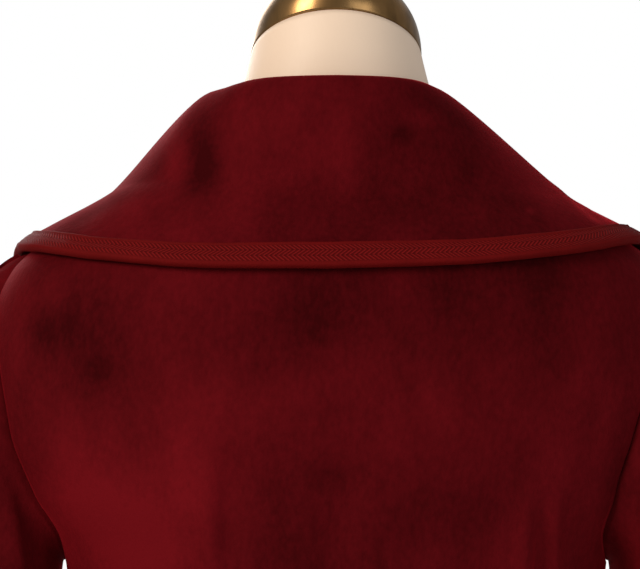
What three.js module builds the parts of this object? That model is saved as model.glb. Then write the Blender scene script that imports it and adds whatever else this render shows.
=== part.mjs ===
// A long velvet coat with a wide rolled collar bound in braid, worn on a limbless dress form with a stand.
// Millimetres, +Z up. The floor is z = 0 and the pole stands on the Z axis. The coat's front faces -Y and its
// back +Y, so the wearer's left is +X. Each piece of cloth is a closed wall made from sections of the coat.
import * as THREE from "three";

// Driving sizes
const CLOTH = 2.5; // velvet with its backing
const SLEEVE_CLOTH = 2.2; // the same where it is drawn over the sleeve's head
const COLLAR_CLOTH = 3; // two layers of velvet
const BRAID = 1.1; // thickness of the braid that binds the collar
const BRAID_WIDTH = 12; // as it shows on each side of the collar
const BRAID_GAP = 0.75; // between the braid and the collar
const UNDER_BRAID = 0.3; // more of it where the braid is folded under the collar
const SEAM_GAP = 0.4; // between two pieces at a seam
const SET_GAP = 0.7; // at the seams of the sleeves and the collar, which turn away from the body
const HEM = 300;
const UNDERARM = 1160;
const SHOULDER_TIP = 1343;
const NECKLINE = 1398;
const BREAK = 1195; // height where the lapels start, at the top button
const OVERLAP = 22; // how far each front passes the centre
const OVERLAP_GAP = 0.9; // air between the two fronts
const CUFF = 762;
const NECK_EDGE = 66; // how far from the centre front the roll line meets the neckline
// Where the right front climbs over the left one: across from the start, and up to the top.
const OVERLAP_RISE = { start: 85, width: 55, top: 1330, fade: 80 };
const FORM_HEM = 740;

// Sections of the dress form: half width, and depth behind and in front of the axis.
const formSections = [
  { height: FORM_HEM, halfWidth: 160, back: 108, front: 104 },
  { height: 800, halfWidth: 168, back: 116, front: 108 },
  { height: 860, halfWidth: 165, back: 112, front: 110 },
  { height: 920, halfWidth: 150, back: 96, front: 106 },
  { height: 970, halfWidth: 132, back: 80, front: 100 },
  { height: 1005, halfWidth: 124, back: 73, front: 97 },
  { height: 1045, halfWidth: 128, back: 76, front: 102 },
  { height: 1100, halfWidth: 141, back: 86, front: 122 },
  { height: 1150, halfWidth: 149, back: 95, front: 137 },
  { height: 1200, halfWidth: 157, back: 101, front: 130 },
  { height: 1240, halfWidth: 168, back: 104, front: 114 },
  { height: 1280, halfWidth: 179, back: 103, front: 98 },
  { height: 1310, halfWidth: 185, back: 99, front: 85 },
  { height: 1330, halfWidth: 178.5, back: 94, front: 77 },
  { height: 1342, halfWidth: 167.5, back: 89, front: 72 },
  { height: 1350, halfWidth: 156.5, back: 85, front: 69 },
  { height: 1360, halfWidth: 140.5, back: 80, front: 65 },
  { height: 1370, halfWidth: 125, back: 75, front: 61 },
  { height: 1380, halfWidth: 107.5, back: 70, front: 57 },
  { height: 1390, halfWidth: 89.5, back: 64, front: 53 },
  { height: 1400, halfWidth: 72, back: 59, front: 50 },
  { height: 1414, halfWidth: 60, back: 55, front: 49 },
  { height: 1424, halfWidth: 58.5, back: 53.5, front: 51 },
];

// Sections of the coat's outer face, before its folds.
const coatSections = [
  { height: 300, halfWidth: 292, back: 262, front: 236 },
  { height: 400, halfWidth: 277, back: 246, front: 224 },
  { height: 500, halfWidth: 261, back: 228, front: 210 },
  { height: 600, halfWidth: 244, back: 208, front: 196 },
  { height: 700, halfWidth: 226, back: 188, front: 180 },
  { height: 800, halfWidth: 206, back: 164, front: 163 },
  { height: 880, halfWidth: 184, back: 138, front: 148 },
  { height: 950, halfWidth: 158, back: 110, front: 130 },
  { height: 1005, halfWidth: 142, back: 93, front: 115 },
  { height: 1060, halfWidth: 146, back: 97, front: 124 },
  { height: 1110, halfWidth: 152, back: 104, front: 141 },
  { height: 1140, halfWidth: 156, back: 108, front: 149 },
  { height: 1160, halfWidth: 158, back: 111, front: 151 },
  { height: 1177, halfWidth: 164, back: 113, front: 149 },
  { height: 1204, halfWidth: 184, back: 114, front: 141 },
  { height: 1240, halfWidth: 199, back: 114, front: 126 },
  { height: 1280, halfWidth: 202, back: 112, front: 109 },
  { height: 1310, halfWidth: 200, back: 107, front: 95 },
  { height: 1330, halfWidth: 190.5, back: 102, front: 86 },
  { height: 1343, halfWidth: 177.5, back: 96, front: 79 },
  { height: 1350, halfWidth: 166.5, back: 91.5, front: 76 },
  { height: 1360, halfWidth: 150.5, back: 86, front: 72 },
  { height: 1370, halfWidth: 134.5, back: 81, front: 68 },
  { height: 1380, halfWidth: 116.5, back: 76, front: 64 },
  { height: 1390, halfWidth: 98.5, back: 70.5, front: 60 },
  { height: 1398, halfWidth: 83, back: 66, front: 56 },
];
const SQUARENESS = 2.35; // 2 is an ellipse, more is squarer
const FORM_COVER = 0.7; // thickness of the fabric stretched over the form

// Flutes of the skirt, in degrees round from the wearer's left side, with their depth at the hem.
const skirtFlutes = [
  { turn: 9, spread: 8, depth: 15, top: 990 },
  { turn: 34, spread: 9, depth: 27, top: 1010 },
  { turn: 59, spread: 8, depth: 21, top: 1030 },
  { turn: 82, spread: 9, depth: 25, top: 990 },
  { turn: 106, spread: 8, depth: 20, top: 1000 },
  { turn: 130, spread: 9, depth: 28, top: 1020 },
  { turn: 155, spread: 9, depth: 21, top: 990 },
  { turn: 181, spread: 8, depth: 16, top: 980 },
  { turn: 206, spread: 9, depth: 24, top: 1000 },
  { turn: 231, spread: 9, depth: 19, top: 960 },
  { turn: 308, spread: 9, depth: 21, top: 960 },
  { turn: 334, spread: 9, depth: 25, top: 1000 },
];

// Soft ridges of the back between the shoulder blades and the waist.
const backRidges = [
  { turn: 68.5, spread: 4.2, depth: 4.2, top: 1250, bottom: 985 },
  { turn: 101, spread: 7, depth: 2.2, top: 1215, bottom: 980 },
  { turn: 125, spread: 4.5, depth: 2.6, top: 1225, bottom: 990 },
  { turn: 141, spread: 4, depth: 2.4, top: 1215, bottom: 985 },
];

// The armhole of each side: how far round it reaches behind and in front, in degrees.
const ARMHOLE_LEAN = 0.35; // it is widest below its middle
const armholes = {
  left: { sign: 1, behind: 24, before: 25 },
  right: { sign: -1, behind: 36, before: 25 },
};

// Level rings of a sleeve below the armhole: centre out from the axis and back, and half sizes on X and Y.
const sleeveRings = [
  { height: 1140, out: 203, back: 3, halfThick: 40, halfWide: 76 },
  { height: 1095, out: 208, back: 2, halfThick: 37, halfWide: 76 },
  { height: 1040, out: 215, back: 0, halfThick: 36, halfWide: 74 },
  { height: 980, out: 224, back: -3, halfThick: 35, halfWide: 71 },
  { height: 915, out: 234, back: -8, halfThick: 35, halfWide: 68 },
  { height: 850, out: 245, back: -14, halfThick: 34, halfWide: 65 },
  { height: 800, out: 253, back: -19, halfThick: 34, halfWide: 63 },
  { height: CUFF, out: 259, back: -23, halfThick: 34, halfWide: 62 },
];
const SLEEVE_TOP = sleeveRings[0].height;

// Rows of numbers under named columns.
const table = (names, rows) =>
  rows.map((row) => Object.fromEntries(names.map((name, i) => [name, row[i]])));

// The collar of each side, from the centre back (along 0) to the end of its lapel (along 1). It is sewn to the
// coat at the seam, stands up to its fold, falls back to land on the coat and lies on it out to its edge.
// The fold is given from the seam: along the coat's face out of the neckline, and away from that face.
// The fall is how wide the roll turns over. Turns are in degrees.
const collarHeadings = [
  "along",
  "seamTurn",
  "foldIn",
  "foldOff",
  "fall",
  "landTurn",
  "landHeight",
  "edgeTurn",
  "edgeHeight",
];
const collarLeft = table(collarHeadings, [
  [0, 90, 36.7, 13.4, 30, 90, 1376, 90, 1331.3],
  [0.1, 66, 37, 11.6, 34, 69, 1377, 70, 1331.5],
  [0.2, 42, 35.2, 10.8, 42, 48, 1377, 49, 1335.3],
  [0.3, 20, 33, 13, 50, 26, 1376, 27, 1339.5],
  [0.4, 0, 26, 12.8, 50, 6, 1372, 7, 1340],
  [0.48, -18, 18, 12.5, 44, -14, 1366, -12, 1333],
  [0.55, -37.33, 12, 12, 32, -30, 1359, -27, 1317],
  [0.7, -37.33, 8, 10, 24, -47, 1337, -41, 1285],
  [0.85, -37.33, 7, 8, 20, -66, 1298, -58, 1244],
  [1, -37.33, 6, 7, 18, -81, 1266, -77.5, 1208],
]);
const collarRight = table(collarHeadings, [
  [0, 90, 36.7, 13.4, 30, 90, 1376, 90, 1331.3],
  [0.1, 66, 37, 10.8, 28, 69, 1375, 70, 1333.2],
  [0.2, 42, 36.3, 7.6, 25, 48, 1373, 49, 1338.3],
  [0.3, 20, 35.8, 7.8, 24, 26, 1370, 27, 1343.5],
  [0.4, 0, 29.2, 7.8, 26, 6, 1368, 7, 1344],
  [0.48, -18, 20, 9, 28, -14, 1366, -12, 1337],
  [0.55, -37.33, 12, 10.5, 28, -30, 1360, -27, 1317],
  [0.66, -37.33, 8, 10, 22, -50, 1328, -43, 1279],
  [0.82, -37.33, 6.5, 7.5, 18, -77, 1262, -66, 1220],
  [1, -37.33, 4, 6, 14, -92, 1192, -87, 1184],
]);
const STAND_SWEEP = 25; // how wide the stand turns into the fold
const FULL_STAND = 40; // height of stand that has the whole sweep
const CORNER = 0.55; // along the collar, where the neckline meets the front edge
const COLLAR_LIFT = 1.6; // air between the collar and the coat where it lies
const EDGE_LIFT = 4.6; // the same at its bound edge, for the braid

// Stand and neck of the dress form
const NECK_TOP = 1454.5; // height of the neck's middle, where it is cut on a slant
const NECK_RADIUS = 50.5;
const NECK_FLARE = 4; // more of the radius where the neck starts to tilt
const NECK_BEND = 14.5; // height over which it tilts
const NECK_SLANT = Math.tan(THREE.MathUtils.degToRad(25.7));
const CAP_HEIGHT = 40;
const CAP_SQUARENESS = 2.3; // 2 is half an ellipse
const CAP_LEVELS = [0, 0.15, 0.34, 0.54, 0.74, 0.9, 0.985]; // of its rings, as shares of its height
const BASE_RADIUS = 175;
const BASE_HEIGHT = 14;
const BASE_EDGE = 4; // slope at the base's rim and at the foot of its boss
const BOSS_RADIUS = 30;
const BOSS_HEIGHT = 44;
const BOSS_TAPER = 3;
const POLE_RADIUS = 13;

// Buttons on the overlap, from the top down
const buttonHeights = [1160, 1064, 967, 872, 780];
const BUTTON_RADIUS = 13;
const BUTTON_DOME = 5;
const SHANK_RADIUS = 4;
const SHANK_LENGTH = 2.2;
const BUTTON_SEAT = 0.9; // air under the shank

// How finely each piece is divided
const BACK_COLUMNS = 30;
const FRONT_COLUMNS = 16;
const SLEEVE_COLUMNS = 20;
const NECK_STATIONS = 12; // of the collar, on each side of the centre back
const FORM_COLUMNS = 28;
const POLE_COLUMNS = 24;
const BASE_COLUMNS = 48;
const BUTTON_COLUMNS = 16;
const COLLAR_ROWS = [0, 0.4, 0.78, 1, 1.1, 1.24, 1.45, 1.72, 2]; // from the seam to where it lands
const LYING_ROWS = [0.36, 0.7]; // from there to the braid, as shares
const HEAD_ROWS = [0.12, 0.28, 0.47, 0.72]; // of a sleeve's head, from the seam to the tube
const PULL_FADE = 1.5; // how fast a column's pull fades away from an edge
const BACK_PULL = 0.45; // share of the back that moves with each armhole's edge
const FRONT_PULL = 0.65; // the same for a front

const rad = THREE.MathUtils.degToRad;
const ease = (x) => THREE.MathUtils.smoothstep(x, 0, 1);
const mix = (a, b, share) => a + (b - a) * share;
const vector = (x, y, z) => new THREE.Vector3(x, y, z);
const range = (count) => Array.from({ length: count }, (_, i) => i);

// The value of one column of a table where its key column reads at, on a smooth curve that never overshoots.
function read(table, key, name, at) {
  const last = table.length - 1;
  if (at <= table[0][key]) return table[0][name];
  if (at >= table[last][key]) return table[last][name];
  const i = table.findIndex((row) => row[key] > at) - 1;
  const slope = (k) => (table[k + 1][name] - table[k][name]) / (table[k + 1][key] - table[k][key]);
  const tangent = (k) => {
    if (k === 0) return slope(0);
    if (k === last) return slope(last - 1);
    const [before, after] = [slope(k - 1), slope(k)];
    return before * after <= 0 ? 0 : (2 * before * after) / (before + after);
  };
  const span = table[i + 1][key] - table[i][key];
  const s = (at - table[i][key]) / span;
  const rise = s * s * (3 - 2 * s);
  return (
    mix(table[i][name], table[i + 1][name], rise) +
    span * s * (1 - s) * (tangent(i) * (1 - s) - tangent(i + 1) * s)
  );
}

// Half width and depth of a section on the side that a turn is on.
function sectionAt(table, turn, height) {
  const side = Math.sin(turn) >= 0 ? "back" : "front";
  return {
    halfWidth: read(table, "height", "halfWidth", height),
    depth: read(table, "height", side, height),
  };
}

// Distance from the axis to a section's outline, in the direction of a true angle.
function outline({ halfWidth, depth }, angle) {
  const across = Math.abs(Math.cos(angle) / halfWidth) ** SQUARENESS;
  const along = Math.abs(Math.sin(angle) / depth) ** SQUARENESS;
  return (across + along) ** (-1 / SQUARENESS);
}

// A point of a sectioned body. A turn runs evenly round the section, from the wearer's left through the back.
function bodyPoint(table, turn, height, relief = 0) {
  const section = sectionAt(table, turn, height);
  const angle = Math.atan2(section.depth * Math.sin(turn), section.halfWidth * Math.cos(turn));
  const radius = outline(section, angle) + relief;
  return vector(radius * Math.cos(angle), radius * Math.sin(angle), height);
}

// How far a soft ridge stands out at a turn, in degrees on both.
function ridge(row, turn) {
  const apart = ((turn - row.turn + 540) % 360) - 180;
  return row.depth * Math.exp(-((apart / row.spread) ** 2));
}

// The flutes grow from the waist to the hem, and the back's ridges rise and fade between their two ends.
function folds(turn, height) {
  const degrees = THREE.MathUtils.radToDeg(turn);
  let sum = 0;
  for (const row of skirtFlutes) {
    const grown = (row.top - height) / (row.top - HEM);
    if (grown > 0) sum += ridge(row, degrees) * grown ** 1.4;
  }
  for (const row of backRidges) {
    const share = (height - row.bottom) / (row.top - row.bottom);
    if (share > 0 && share < 1) sum += ridge(row, degrees) * Math.sin(Math.PI * share) ** 0.8;
  }
  return sum;
}

// The outward direction of a surface given as a function of two parameters.
function normalOf(surface, u, v, step = 1e-3) {
  const alongU = surface(u + step, v).sub(surface(u - step, v));
  const alongV = surface(u, v + step).sub(surface(u, v - step));
  return alongU.cross(alongV).normalize();
}

const coatFace = (turn, height) => bodyPoint(coatSections, turn, height, folds(turn, height));
const coatNormal = (turn, height) => normalOf(coatFace, turn, height);
const coatPoint = (turn, height, out) =>
  coatFace(turn, height).addScaledVector(coatNormal(turn, height), out);

// A mesh from points and faces of three or four corners, turned so that its faces point out.
function solid(name, points, faces, material) {
  const triangles = faces.flatMap(([a, b, c, d]) => (d === undefined ? [[a, b, c]] : [[a, b, c], [a, c, d]]));
  const volume = triangles.reduce((sum, [a, b, c]) => {
    return sum + points[a].dot(points[b].clone().cross(points[c]));
  }, 0);
  const index = triangles.flatMap(([a, b, c]) => (volume > 0 ? [a, b, c] : [a, c, b]));
  const geometry = new THREE.BufferGeometry().setFromPoints(points).setIndex(index);
  geometry.computeVertexNormals();
  const mesh = new THREE.Mesh(geometry, material);
  mesh.name = name;
  return mesh;
}

// A wall of cloth between two grids of points that match row by row. A round wall closes each row on itself.
function clothWall(name, outer, inner, material, round = false) {
  const rows = outer.length;
  const columns = outer[0].length;
  const at = (side, row, column) => (side * rows + row) * columns + (column % columns);
  const quads = [];
  for (const column of range(round ? columns : columns - 1)) {
    for (const row of range(rows - 1)) {
      const [below, beside] = [row + 1, column + 1];
      quads.push([at(0, row, column), at(0, row, beside), at(0, below, beside), at(0, below, column)]);
      quads.push([at(1, row, column), at(1, below, column), at(1, below, beside), at(1, row, beside)]);
    }
    const end = rows - 1;
    quads.push([at(0, 0, column), at(1, 0, column), at(1, 0, column + 1), at(0, 0, column + 1)]);
    quads.push([at(0, end, column), at(0, end, column + 1), at(1, end, column + 1), at(1, end, column)]);
  }
  for (const row of range(round ? 0 : rows - 1)) {
    const end = columns - 1;
    quads.push([at(0, row, 0), at(0, row + 1, 0), at(1, row + 1, 0), at(1, row, 0)]);
    quads.push([at(0, row, end), at(1, row, end), at(1, row + 1, end), at(0, row + 1, end)]);
  }
  return solid(name, [...outer.flat(), ...inner.flat()], quads, material);
}

// A solid through rings of points, closed at both ends with a point at the middle of each end ring.
function loft(name, rings, material) {
  const columns = rings[0].length;
  const middle = (ring) => ring.reduce((sum, p) => sum.add(p), vector(0, 0, 0)).divideScalar(columns);
  const points = [...rings.flat(), middle(rings[0]), middle(rings.at(-1))];
  const [first, last] = [points.length - 2, points.length - 1];
  const at = (row, column) => row * columns + (column % columns);
  const faces = [];
  for (const column of range(columns)) {
    for (const row of range(rings.length - 1)) {
      faces.push([at(row, column), at(row, column + 1), at(row + 1, column + 1), at(row + 1, column)]);
    }
    faces.push([first, at(0, column + 1), at(0, column)]);
    faces.push([last, at(rings.length - 1, column), at(rings.length - 1, column + 1)]);
  }
  return solid(name, points, faces, material);
}

// Heights of the rows that the body panels share: the armhole's rows match the points of the sleeves' heads.
const halfRound = SLEEVE_COLUMNS / 2;
const armholeHeight = (phi) => mix(UNDERARM, SHOULDER_TIP, (1 + Math.cos(phi)) / 2);
const armholeRows = range(halfRound + 1).map((i) => armholeHeight(Math.PI * (1 - i / halfRound)));
const skirtRows = [HEM, 400, 500, 600, 690, 780, 872, 920, 967, 1015, 1064, 1112];
const shoulderRows = [1350, 1361, 1374, 1386, NECKLINE];
const bodyRows = [...skirtRows, ...armholeRows, ...shoulderRows];

// How far round an armhole reaches at an angle of its loop, which is 0 at the shoulder and a half turn below.
function armholeReach(phi, degrees) {
  return rad(degrees) * Math.abs(Math.sin(phi)) * (1 - ARMHOLE_LEAN * Math.cos(phi));
}

// Where a body panel ends at the side, in radians from the side seam: half a seam gap, or the armhole's edge.
function sideEdge(height, degrees, depth) {
  const seam = SEAM_GAP / 2 / depth;
  if (height <= UNDERARM || height >= SHOULDER_TIP) return seam;
  const share = (height - UNDERARM) / (SHOULDER_TIP - UNDERARM);
  return Math.max(seam, armholeReach(Math.acos(2 * share - 1), degrees));
}

// The front edge: past the centre below the break, then along the roll line up to the neckline. X grows past
// the centre, and the turn is measured from the centre front.
function frontEdgeX(height) {
  const roll = Math.max(0, (height - BREAK) / (NECKLINE - BREAK));
  return OVERLAP - (OVERLAP + NECK_EDGE) * roll;
}
function frontEdgeTurn(height) {
  return Math.asin(frontEdgeX(height) / read(coatSections, "height", "halfWidth", height));
}

// The right front lies over the left one, so it rises towards its edge.
function overlapLift(turn, height) {
  const { start, width, top, fade } = OVERLAP_RISE;
  const across = ease((coatFace(turn, height).x + start) / width);
  return (CLOTH + OVERLAP_GAP) * across * ease((top - height) / fade);
}

// The columns of a panel stand evenly in its widest row. In other rows the columns near an armhole move with
// its edge, and all the columns of a front move with its front edge, which is its first end, 0, or its last, 1.
function columnTurn(widest, edges, frontEnd, share) {
  const even = mix(widest[0], widest[1], share);
  const pull = (end, from) => {
    if (end === frontEnd) return 1 - from;
    return Math.max(0, 1 - from / (frontEnd === undefined ? BACK_PULL : FRONT_PULL)) ** PULL_FADE;
  };
  return even + (edges[0] - widest[0]) * pull(0, share) + (edges[1] - widest[1]) * pull(1, 1 - share);
}

function bodyPanel(name, columns, edges, material, { frontEnd, lift = () => 0 } = {}) {
  const widest = edges(UNDERARM);
  const face = (out) =>
    bodyRows.map((height) => {
      const [from, to] = edges(height);
      return range(columns + 1).map((i) => {
        const turn = columnTurn(widest, [from, to], frontEnd, i / columns);
        return coatPoint(turn, height, lift(turn, height) + out);
      });
    });
  return clothWall(name, face(0), face(-CLOTH), material);
}

// The edges of each panel as turns. The centre front is three quarters of a turn.
const CENTRE_FRONT = 1.5 * Math.PI;
const sideOf = (height, side, part) => {
  const depth = read(coatSections, "height", part === "behind" ? "back" : "front", height);
  return sideEdge(height, armholes[side][part], depth);
};
const backEdges = (height) => [sideOf(height, "left", "behind"), Math.PI - sideOf(height, "right", "behind")];
const rightFrontEdges = (height) => [
  Math.PI + sideOf(height, "right", "before"),
  CENTRE_FRONT + frontEdgeTurn(height),
];
const leftFrontEdges = (height) => [
  CENTRE_FRONT - frontEdgeTurn(height),
  2 * Math.PI - sideOf(height, "left", "before"),
];

// The edge of an armhole at an angle of its loop, with the coat's normal there and the way into the opening.
function armholeEdge(side, phi) {
  const { sign, behind, before } = armholes[side];
  const height = armholeHeight(phi);
  const reach = armholeReach(phi, Math.sin(phi) >= 0 ? behind : before) * Math.sign(Math.sin(phi));
  const turn = sign > 0 ? reach : Math.PI - reach;
  const point = coatFace(turn, height);
  const normal = coatNormal(turn, height);
  return { point, normal };
}

function armholeLoop(side) {
  const edges = range(SLEEVE_COLUMNS).map((i) => armholeEdge(side, (2 * Math.PI * i) / SLEEVE_COLUMNS));
  return edges.map((edge, i) => {
    const next = edges[(i + 1) % SLEEVE_COLUMNS].point;
    const before = edges[(i + SLEEVE_COLUMNS - 1) % SLEEVE_COLUMNS].point;
    const inward = next.clone().sub(before).cross(edge.normal).normalize();
    return { ...edge, inward: inward.multiplyScalar(armholes[side].sign) };
  });
}

// A cubic curve from one point to another with a given direction and speed at each.
function hermite(from, leaving, to, arriving, s) {
  const rise = s * s * (3 - 2 * s);
  return from
    .clone()
    .lerp(to, rise)
    .addScaledVector(leaving, s * (1 - s) * (1 - s))
    .addScaledVector(arriving, -s * s * (1 - s));
}

function sleeveRing(side, phi, height) {
  const row = (name) => read([...sleeveRings].reverse(), "height", name, height);
  const x = row("out") + row("halfThick") * Math.cos(phi);
  return vector(armholes[side].sign * x, row("back") + row("halfWide") * Math.sin(phi), height);
}

// The head of a sleeve leaves the armhole's seam and turns down into the tube, on one curve for each column.
const HEAD_SPEED = 0.9; // how far each end of that curve keeps its direction
function sleeveHead(side, edge, phi, share) {
  const below = (1 - Math.cos(phi)) / 2; // 0 at the shoulder, 1 under the arm
  const start = edge.point.clone().addScaledVector(edge.inward, SET_GAP);
  const end = sleeveRing(side, phi, SLEEVE_TOP);
  const speed = start.distanceTo(end);
  const leaving = edge.inward
    .clone()
    .multiplyScalar(mix(0.35, 0.55, below))
    .addScaledVector(edge.normal, mix(0.15, 0.8, below))
    .addScaledVector(end.clone().sub(start).normalize(), mix(0.5, 0.1, below))
    .setLength(speed * HEAD_SPEED);
  const arriving = sleeveRing(side, phi, SLEEVE_TOP - 30).sub(end).setLength(speed * HEAD_SPEED);
  return hermite(start, leaving, end, arriving, share);
}

function sleeve(name, side, material) {
  const loop = armholeLoop(side);
  const phiOf = (i) => (2 * Math.PI * i) / SLEEVE_COLUMNS;
  const columns = range(SLEEVE_COLUMNS);
  const outer = [
    loop.map((edge) => edge.point.clone().addScaledVector(edge.inward, SET_GAP)),
    ...HEAD_ROWS.map((share) => columns.map((i) => sleeveHead(side, loop[i], phiOf(i), share))),
    ...sleeveRings.map(({ height }) => columns.map((i) => sleeveRing(side, phiOf(i), height))),
  ];
  const inner = outer.map((row, r) =>
    row.map((point, i) => {
      if (r === 0) return point.clone().addScaledVector(loop[i].normal, -CLOTH);
      const below = outer[Math.min(r + 1, outer.length - 1)][i].clone().sub(outer[r - 1][i]);
      const around = row[(i + 1) % row.length].clone().sub(row[(i + row.length - 1) % row.length]);
      const inwards = below.cross(around).normalize().multiplyScalar(-armholes[side].sign);
      return point.clone().addScaledVector(inwards, SLEEVE_CLOTH);
    }),
  );
  return clothWall(name, outer, inner, material, true);
}

// The coat's face on the left side, or on the right side as its mirror image, with the overlap's lift there.
function sideFace(rightSide, turn, height, out = 0) {
  if (!rightSide) return coatPoint(turn, height, out);
  const mirrored = Math.PI - turn;
  const point = coatPoint(mirrored, height, overlapLift(mirrored, height) + out);
  return vector(-point.x, point.y, point.z);
}

// One station of the collar: its seam with the coat's normal there, its fold, and where it lands and ends.
function collarStation({ table, rightSide, lapelEnd }, along) {
  const at = (name) => read(table, "along", name, along);
  const seamAt = (where) => {
    const height = mix(NECKLINE, lapelEnd, Math.max(0, (where - CORNER) / (1 - CORNER)));
    const roundNeck = rad(read(table, "along", "seamTurn", where));
    const turn = where <= CORNER ? roundNeck : -Math.PI / 2 - frontEdgeTurn(height);
    return { turn, height, point: sideFace(rightSide, turn, height) };
  };
  const seam = seamAt(along);
  const step = 0.012;
  const ahead = seamAt(Math.min(along + step, 1)).point;
  const run = ahead.sub(seamAt(Math.max(along - step, 0)).point).normalize();
  const normal = normalOf((turn, height) => sideFace(rightSide, turn, height), seam.turn, seam.height);
  const into = run.clone().cross(normal).normalize();
  const fold = seam.point.clone().addScaledVector(into, at("foldIn")).addScaledVector(normal, at("foldOff"));
  const lying = (share) => {
    const turn = rad(mix(at("landTurn"), at("edgeTurn"), share));
    const height = mix(at("landHeight"), at("edgeHeight"), share);
    return sideFace(rightSide, turn, height, mix(COLLAR_LIFT, EDGE_LIFT, ease(share)));
  };
  return { seam: seam.point, run, normal, into, fold, lying, fall: at("fall") };
}

// The collar's face towards the coat. Across is 0 at the seam, 1 at the fold, 2 where it lands, 3 at the edge.
function collarFace(collar, along, across) {
  const { seam, run, into, fold, lying, fall } = collarStation(collar, along);
  const up = fold.clone().sub(seam);
  const over = run.clone().cross(up).normalize().negate();
  if (across <= 1) {
    const start = seam.clone().addScaledVector(into, SET_GAP);
    const leaving = into.clone().lerp(up.clone().normalize(), 0.4).setLength(up.length());
    const sweep = STAND_SWEEP * ease(up.length() / FULL_STAND);
    return hermite(start, leaving, fold, over.clone().setLength(sweep), across);
  }
  if (across >= 2) return lying(across - 2);
  const land = lying(0);
  const arriving = lying(0.1).sub(land).setLength(land.distanceTo(fold) * 0.6);
  return hermite(fold, over.setLength(fall), land, arriving, across - 1);
}

// Where the braid starts, as a share of the part of the collar that lies on the coat.
function braidRow(collar, along) {
  const { lying } = collarStation(collar, along);
  return 3 - BRAID_WIDTH / lying(0).distanceTo(lying(1));
}

// The collar's two faces as rows of points from the seam to the edge, for all its stations.
function collarFaces() {
  const left = { table: collarLeft, rightSide: false, lapelEnd: armholeRows[6] };
  const right = { table: collarRight, rightSide: true, lapelEnd: armholeRows[3] };
  const alongs = ({ lapelEnd }) => [
    ...range(NECK_STATIONS + 1).map((i) => (CORNER * i) / NECK_STATIONS),
    ...bodyRows
      .filter((height) => height >= lapelEnd && height < NECKLINE)
      .reverse()
      .map((height) => mix(CORNER, 1, (NECKLINE - height) / (NECKLINE - lapelEnd))),
  ];
  const column = (collar, along) => {
    const start = braidRow(collar, along);
    const rows = [...COLLAR_ROWS, ...LYING_ROWS.map((share) => mix(2, start, share)), start, 3];
    const point = (u, v) => collarFace(collar, u, v);
    const under = rows.map((row) => point(along, row));
    const away = rows.map((row, i) => {
      if (i === 0) return collarStation(collar, along).normal.clone().multiplyScalar(-1);
      const d = 2e-3;
      const [before, after] = [Math.max(along - d, 0), Math.min(along + d, 1)];
      const alongU = point(after, row).sub(point(before, row));
      const alongV = point(along, Math.min(row + d, 3)).sub(point(along, row - d));
      return alongU.cross(alongV).normalize();
    });
    const mirror = (p) => (collar.rightSide ? vector(-p.x, p.y, p.z) : p);
    return { under: under.map(mirror), away: away.map(mirror) };
  };
  const rightHalf = alongs(right).slice(1).reverse().map((along) => column(right, along));
  return [...rightHalf, ...alongs(left).map((along) => column(left, along))];
}

function collarWall(name, columns, material) {
  const under = columns.map((column) => column.under);
  const upper = columns.map(({ under: points, away }) =>
    points.map((point, i) => point.clone().addScaledVector(away[i], i === 0 ? CLOTH : COLLAR_CLOTH)),
  );
  return clothWall(name, upper, under, material);
}

// The braid is folded round the collar's edge: its section is a U made from the collar's points moved out.
function binding(name, columns, material) {
  const near = BRAID_GAP;
  const far = BRAID_GAP + BRAID;
  const section = ({ under, away }, gap) => {
    const [start, edge] = under.slice(-2);
    const [startAway, edgeAway] = away.slice(-2);
    const out = edge.clone().sub(start).normalize();
    const place = (point, direction, height, beyond) =>
      point.clone().addScaledVector(direction, height).addScaledVector(out, beyond);
    return [
      place(start, startAway, COLLAR_CLOTH + gap, 0),
      place(edge, edgeAway, COLLAR_CLOTH + gap, gap * 0.5),
      place(edge, edgeAway, COLLAR_CLOTH / 2, gap * 1.2),
      place(edge, edgeAway, -gap - UNDER_BRAID, gap * 0.5),
      place(start, startAway, -gap - UNDER_BRAID, 0),
    ];
  };
  const outer = columns.map((column) => section(column, far));
  const inner = columns.map((column) => section(column, near));
  return clothWall(name, outer, inner, material);
}

// A ring about the Z axis, which may rise towards the back on the slant that the neck is cut on.
const ring = (radius, count, place) => range(count).map((i) => place((2 * Math.PI * i) / count, radius));
const slanted = (height, tilt) => (turn, radius) => {
  const [x, y] = [radius * Math.cos(turn), radius * Math.sin(turn)];
  return vector(x, y, height + tilt * NECK_SLANT * y);
};
const level = (height) => slanted(height, 0);

// The dress form: level sections up to the neck, then rings that tilt to the slant.
function dressForm(name, material) {
  const turns = range(FORM_COLUMNS).map((i) => (2 * Math.PI * i) / FORM_COLUMNS);
  const body = formSections.map(({ height }) =>
    turns.map((turn) => bodyPoint(formSections, turn, height, FORM_COVER)),
  );
  const neck = [
    ring(NECK_RADIUS + NECK_FLARE, FORM_COLUMNS, slanted(NECK_TOP - NECK_BEND, 0.5)),
    ring(NECK_RADIUS, FORM_COLUMNS, slanted(NECK_TOP, 1)),
  ];
  return loft(name, [...body, ...neck], material);
}

// A round solid turned from a profile of radii and heights.
function turned(name, profile, count, material, place = level) {
  return loft(
    name,
    profile.map(([radius, height]) => ring(radius, count, place(height))),
    material,
  );
}

function neckCap(name, material) {
  const profile = CAP_LEVELS.map((share) => {
    const radius = NECK_RADIUS * (1 - share ** CAP_SQUARENESS) ** (1 / CAP_SQUARENESS);
    return [radius, NECK_TOP + SEAM_GAP + CAP_HEIGHT * share];
  });
  return turned(name, profile, FORM_COLUMNS, material, (height) => slanted(height, 1));
}

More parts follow.
